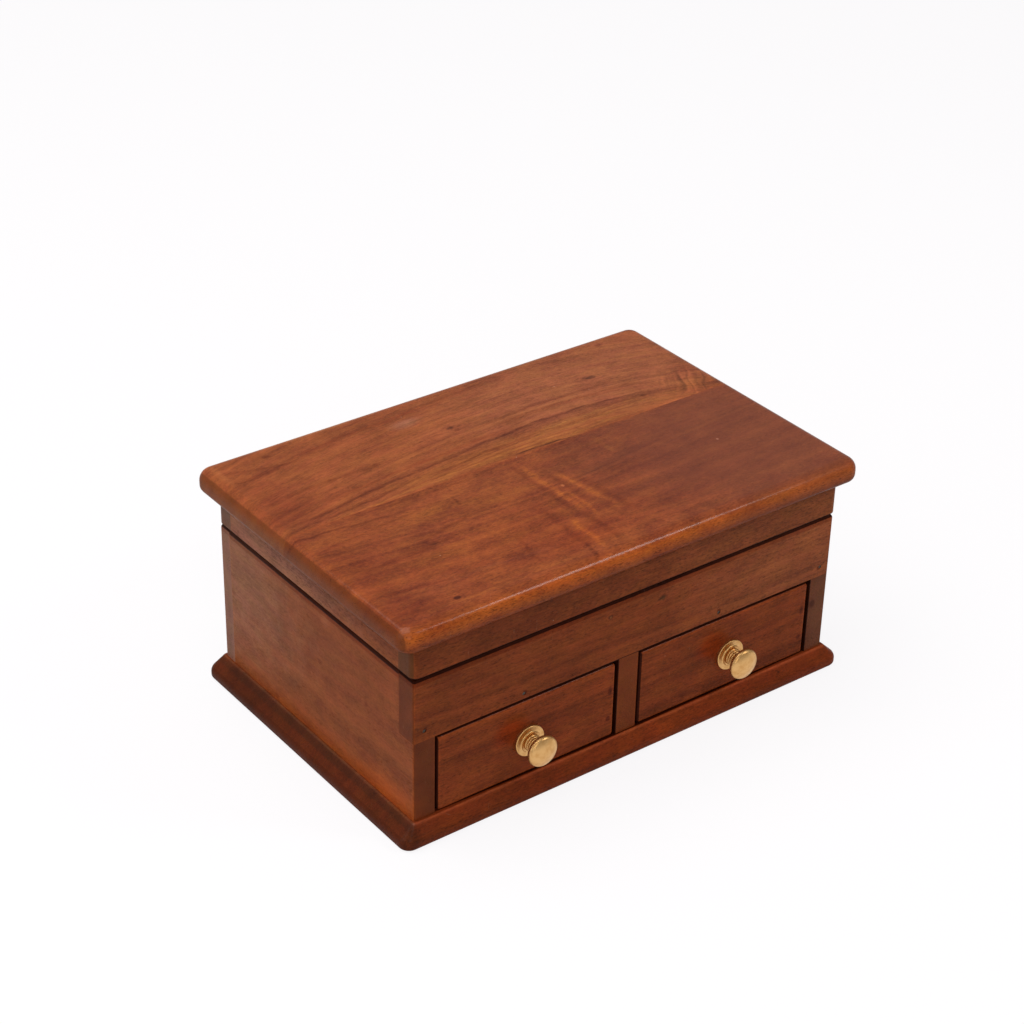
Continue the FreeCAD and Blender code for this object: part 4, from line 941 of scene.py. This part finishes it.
# %% The moulded base board
base_low, _ = in_mm(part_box("base_board"))
BASE_FRONT = math.ceil(base_low.y)
varnished_board(
    "base_board", heart=(-190.0, -40.0), ring_width=9.0, wander=14.0, light=paint(146, 61, 26),
    dark=paint(80, 32, 12), end=(0.8, 0.8, 0.85, 1), ring_depth=0.4, line_depth=0.05,
    knots=[((90, -82, 8.7), (2.0, 3.0, 1.3), 0.6)],
    patches=[
        ((-126, 0, 6), (9, 150, 9), 0.3, (0.57, 0.67, 0.82)),
        ((-122.5, 0, 10.6), (3.4, 150, 2.2), 0.4, (0.72, 0.9, 1.15)),
        # Painted highlight along the shoulder at the top of the base's left bevel.
        ((-120.4, 0, 11.8), (0.8, 150, 0.9), 0.8, (1.5, 2.3, 3.2)),
        ((-118, BASE_FRONT, 6), (12, 8, 9), 0.8, (0.85, 0.92, 1.05)),
        # Painted highlight along the ridge at the top of the base's front.
        ((0, -79.9, 11.4), (FAR, 0.9, 0.9), 0.9, (1.7, 2.0, 2.6)),
        ((32, BASE_FRONT, 6), (36, 6, 8), 0.8, (1.25, 1.22, 1.1)),
        # Painted shade in the seam where the drawers sit on the base.
        ((0, -77.2, 11.5), (117, 1.8, 1.0), 0.2, PAINTED_GAP_SHADE),
        ((-126, 52, 6), (9, 36, 9), 0.9, (0.82, 0.86, 0.91)),
        ((-86, BASE_FRONT, 7), (28, 6, 8), 0.9, (0.9, 0.97, 1.07)),
    ],
)
print("base board finished")

# %% The two drawer fronts
DRAWERS = {
    "left": (0.0, 0.9, (1.06, 1.09, 1.13)),
    "right": (137.0, 1.3, (0.95, 0.97, 0.96)),
}
for side, (shift_along, gap_shade_width, end_tint) in DRAWERS.items():
    node = f"{side}_drawer_front"
    low, high = in_mm(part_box(node))
    knob_low, knob_high = in_mm(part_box(f"{side}_drawer_knob"))
    knob = (knob_low + knob_high) / 2
    varnished_board(
        node, heart=(-150.0, 10.0), ring_width=4.5, wander=7.0, light=paint(161, 75, 35),
        dark=paint(86, 36, 16), shift=(shift_along, 0.0, shift_along / 9), worn=0.7,
        patches=[
            # Painted reflection of the brass knob: a darker, more orange place at its upper left.
            ((knob.x - 11, low.y, knob.z + 8), (9, 8, 7), 0.6, (1.0, 0.72, 0.55)),
            ((low.x + 15, low.y, 32), (20, 4, 20), 0.9, end_tint),
            # Painted shade in the narrow gaps round the drawer front: along its top and bottom edges and both
            # ends.
            ((0, low.y, high.z + 0.4), (FAR, 5, 0.85), 0.2, PAINTED_GAP_SHADE),
            ((0, low.y, low.z), (FAR, 5, 1.0), 0.3, PAINTED_GAP_SHADE),
            ((low.x, low.y, 0), (gap_shade_width, 4, FAR), 0.2, PAINTED_GAP_SHADE),
            ((high.x, low.y, 0), (0.45, 4, FAR), 0.2, PAINTED_GAP_SHADE),
            ((high.x - 3.5, low.y, 22), (1.3, 4, 1.6), 0.5, DARK_LINE),
            ((high.x - 3, low.y, 37), (1.2, 4, 2.6), 0.5, DARK_LINE),
        ],
    )
print("drawer fronts finished:", len(DRAWERS))

# %% [markdown]
# ## Bare wood inside the drawers
# Nobody stains the inside of a small drawer. Its sides and back are pale planed hardwood, and
# its bottom is thin plywood. The timber group serves here too, with pale colours and no
# varnish over it. Fingers leave the edges a little grubby.

# %% Sides, backs and bottoms of the drawers
BARE_HEART = (0, -50, -70)
BARE_END = (0.7, 0.62, 0.5, 1)
BARE_EDGE_REACH = 1.5
GRUBBY = (0.72, 0.62, 0.52, 1)
PLANED_DEPTH = 0.08


def bare_board(node, grain, light, dark, shift, ring_width=5.0):
    """Planed pale wood without varnish, a little grubby where fingers reach."""
    tree = new_finish(node)
    place, along, facing = board_place(tree, grain)
    timber = place_group(
        tree, TIMBER, Place=vectors(tree, "ADD", along, shift), Facing=facing, Heart=BARE_HEART,
        Ring_Width=ring_width, Wander=6.0, Light=light, Dark=dark, End=BARE_END,
        Ring_Depth=0.9, Line_Depth=0.2, Fibre_Depth=0.7, Pore_Depth=0.25, Blotch_Depth=0.4,
    )
    low, high = in_mm(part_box(node))
    edge = place_group(tree, BOARD_EDGES, Place=place, Low=low, High=high, Reach=BARE_EDGE_REACH)["Edge"]
    marks = place_group(tree, USE_MARKS, Place=place)
    colour = tinted(tree, times(tree, edge, 0.5), timber["Colour"], GRUBBY)
    colour = mix_colours(tree, times(tree, marks["Scratches"], 0.25), colour, dark)
    rough = calculate(tree, "MULTIPLY_ADD", timber["Pores"], 0.15, 0.6)
    bump = add(tree, "ShaderNodeBump", {
        "Height": timber["Relief"], "Distance": PLANED_DEPTH * MM, "Strength": 0.6,
    })
    fill(tree, tree.nodes["Principled BSDF"], {
        "Base Color": colour, "Roughness": rough, "Specular IOR Level": 0.25, "Normal": bump.outputs[0],
    })


PALE = (paint(206, 160, 112), paint(168, 118, 76))
PLY = (paint(214, 176, 130), paint(184, 140, 96))
for side, offset in (("left", 0.0), ("right", 61.0)):
    bare_board(f"{side}_drawer_left_side", "Y", *PALE, (offset, 0.0, 0.0))
    bare_board(f"{side}_drawer_right_side", "Y", *PALE, (offset, 40.0, 10.0))
    bare_board(f"{side}_drawer_back", "X", *PALE, (offset, 0.0, 25.0))
    bare_board(f"{side}_drawer_bottom", "X", *PLY, (offset, 70.0, 0.0), ring_width=9.0)
print("drawer boxes finished")

# %% [markdown]
# ## Turned brass
# The knobs were turned on a lathe and polished, so very fine rings run round the axis, and
# the brass has warmed to a duller gold in clouds. Metal has no colour of its own apart
# from its reflections: Metallic is 1, and the tint sits in Base Color.

# %% The turned metal group
CLOUD_SIZE = (3, 3, 3)
DEPTH_SHARE = 1.7
RINGS_PER_MM = 5.0


def make_turned_metal():
    """Fine rings round an axis that runs from front to back, and cloudy tarnish."""
    tree, given, out = new_group("Turned Metal", [("Vector", "Place, Axis")], [("Float", "Rings, Tarnish")])
    away = vectors(tree, "SUBTRACT", given["Place"], given["Axis"])
    radius = vectors(tree, "LENGTH", vectors(tree, "MULTIPLY", away, (1, 0, 1)), result=1)
    path = calculate(tree, "MULTIPLY_ADD", axes(tree, away)["Y"], DEPTH_SHARE, radius)
    rings = noise_along(tree, times(tree, path, RINGS_PER_MM), 2.0, 0.6)
    cloud = noise(tree, given["Place"], CLOUD_SIZE, 4.0, 0.6)
    tarnish = calculate(tree, "MULTIPLY_ADD", rings, 0.25, cloud)
    fill(tree, out, {"Rings": rings, "Tarnish": fade(tree, tarnish, 0.5, 0.85)})
    return tree


TURNED_METAL = make_turned_metal()
print("turned metal group:", len(TURNED_METAL.nodes), "nodes")

# %% Knobs, hinges, screws and nails
def polished_metal(node, bright, dull, rough, ring_depth):
    """Bare metal with fine rings round the middle of the part; the depth of the rings is in mm."""
    tree = new_finish(node)
    place = vectors(tree, "MULTIPLY", add(tree, "ShaderNodeTexCoord").outputs["Object"], TO_MM)
    low, high = in_mm(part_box(node))
    turned = place_group(tree, TURNED_METAL, Place=place, Axis=(low + high) / 2)
    bump = add(tree, "ShaderNodeBump", {
        "Height": turned["Rings"], "Distance": ring_depth * MM, "Strength": 0.4,
    })
    fill(tree, tree.nodes["Principled BSDF"], {
        "Base Color": mix_colours(tree, turned["Tarnish"], bright, dull),
        "Metallic": 1.0,
        "Roughness": calculate(tree, "MULTIPLY_ADD", turned["Tarnish"], 0.08, rough),
        "Normal": bump.outputs[0],
    })


BRASS = (paint(217, 171, 111), paint(200, 150, 90))
STEEL = (paint(190, 188, 184), paint(120, 116, 110))
OLD_IRON = (paint(96, 88, 80), paint(50, 42, 36))
for side in ("left", "right"):
    polished_metal(f"{side}_drawer_knob", *BRASS, rough=0.35, ring_depth=0.002)
    polished_metal(f"{side}_drawer_knob_screw", *STEEL, rough=0.35, ring_depth=0.02)
    polished_metal(f"{side}_hinge_pin", *STEEL, rough=0.35, ring_depth=0.01)
    for part in ("body", "lid"):
        polished_metal(f"{side}_hinge_{part}_leaf", *BRASS, rough=0.34, ring_depth=0.02)
for node in ("hinge_screws_body", "hinge_screws_lid"):
    polished_metal(node, *BRASS, rough=0.34, ring_depth=0.02)
polished_metal("base_screws", *STEEL, rough=0.4, ring_depth=0.02)
polished_metal("rail_nails", *OLD_IRON, rough=0.55, ring_depth=0.03)
print("metal finished")

# %% [markdown]
# ## The studio
# A product studio is a white sheet under the object, lit by large soft lamps. The sheet is a
# pale grey that diffuses light. Where the camera or a reflection sees it, it glows and its
# grey is darker, so that it reads as white and only a faint shadow stays on it.

# %% White floor
FLOOR_HALF = 6.0
SHEET_GREY = (0.55, 0.55, 0.55, 1)
SHEET_GREY_WHERE_SEEN = (0.13, 0.13, 0.13, 1)
GLOW_COLOUR, GLOW = (1, 0.985, 0.996, 1), 0.87


def sheet_paper():
    """Pale grey paper that glows wherever it is seen."""
    material = bpy.data.materials.new("studio_sheet")
    material.use_nodes = True
    tree = material.node_tree
    rays = add(tree, "ShaderNodeLightPath").outputs
    seen = calculate(tree, "MAXIMUM", rays["Is Camera Ray"], rays["Is Glossy Ray"])
    seen = calculate(tree, "MAXIMUM", seen, rays["Is Transmission Ray"])
    fill(tree, tree.nodes["Principled BSDF"], {
        "Base Color": mix_colours(tree, seen, SHEET_GREY, SHEET_GREY_WHERE_SEEN),
        "Roughness": 0.9, "Specular IOR Level": 0.0,
        "Emission Color": GLOW_COLOUR, "Emission Strength": times(tree, seen, GLOW),
    })
    return material


mesh = bpy.data.meshes.new("studio_floor")
corners = [(-1, -1), (1, -1), (1, 1), (-1, 1)]
mesh.from_pydata([(x * FLOOR_HALF, y * FLOOR_HALF, 0) for x, y in corners], [], [(0, 1, 2, 3)])
floor = bpy.data.objects.new("studio_floor", mesh)
bpy.context.scene.collection.objects.link(floor)
floor.data.materials.append(sheet_paper())
print("floor laid:", 2 * FLOOR_HALF, "m square")

# %% Soft lamps and a white surround
LAMPS = {
    "overhead": ((-0.35, 0.2, 1.0), 1.7, 1.6, 22.0),
    "left": ((-1.0, 0.1, 0.35), 1.6, 1.0, 4.0),
    "front_left": ((-0.49, -0.74, 0.42), 1.5, 0.6, 3.0),
    "front_right": ((0.5, -0.57, 0.65), 1.5, 0.3, 4.0),
}
SURROUND = 0.35


def soft_lamp(name, direction, distance, width, power):
    """A square lamp that looks at the middle of the box from a direction."""
    lamp = bpy.data.lights.new(name, "AREA")
    lamp.shape = "SQUARE"
    lamp.size = width
    lamp.energy = power
    holder = bpy.data.objects.new(name, lamp)
    aim = (solid_low + solid_high) / 2
    holder.location = aim + Vector(direction).normalized() * distance
    holder.rotation_euler = (aim - holder.location).to_track_quat("-Z", "Y").to_euler()
    bpy.context.scene.collection.objects.link(holder)


for name, (direction, distance, width, power) in LAMPS.items():
    soft_lamp(name, direction, distance, width, power)

world = bpy.data.worlds.new("white_surround")
bpy.context.scene.world = world
world.use_nodes = True
fill(world.node_tree, world.node_tree.nodes["Background"], {"Color": (1, 1, 1, 1), "Strength": SURROUND})

# %% [markdown]
# ## Camera
# The box is seen from the front left and from above, with a long lens that keeps its edges
# nearly parallel. The camera is turned by its two angles and tipped by a small roll, and stands
# at a given place where the box has its right size in a square picture.

# %% Place the camera
CAMERA_PLACE = Vector((-590.9, -760.6, 665.6)) * MM
AZIMUTH = math.radians(-37.362)
ELEVATION = math.radians(30.947)
ROLL = math.radians(1.318)
SENSOR = 36.0
FOCUS_IN_PICTURE_WIDTHS = 2.3637

backward = Vector((
    math.sin(AZIMUTH) * math.cos(ELEVATION),
    -math.cos(AZIMUTH) * math.cos(ELEVATION),
    math.sin(ELEVATION),
))
level_right = (-backward).cross(Vector((0, 0, 1))).normalized()
level_up = level_right.cross(-backward)
right = level_right * math.cos(ROLL) + level_up * math.sin(ROLL)
up = level_up * math.cos(ROLL) - level_right * math.sin(ROLL)
camera_data = bpy.data.cameras.new("camera")
camera_data.sensor_width = SENSOR
camera_data.lens = SENSOR * FOCUS_IN_PICTURE_WIDTHS
camera = bpy.data.objects.new("camera", camera_data)
turned = Matrix((right, up, backward)).transposed().to_4x4()
camera.matrix_world = Matrix.Translation(CAMERA_PLACE) @ turned
bpy.context.scene.collection.objects.link(camera)
bpy.context.scene.camera = camera
bpy.context.scene.view_settings.view_transform = "Standard"
print("lens in mm:", round(camera_data.lens, 1))
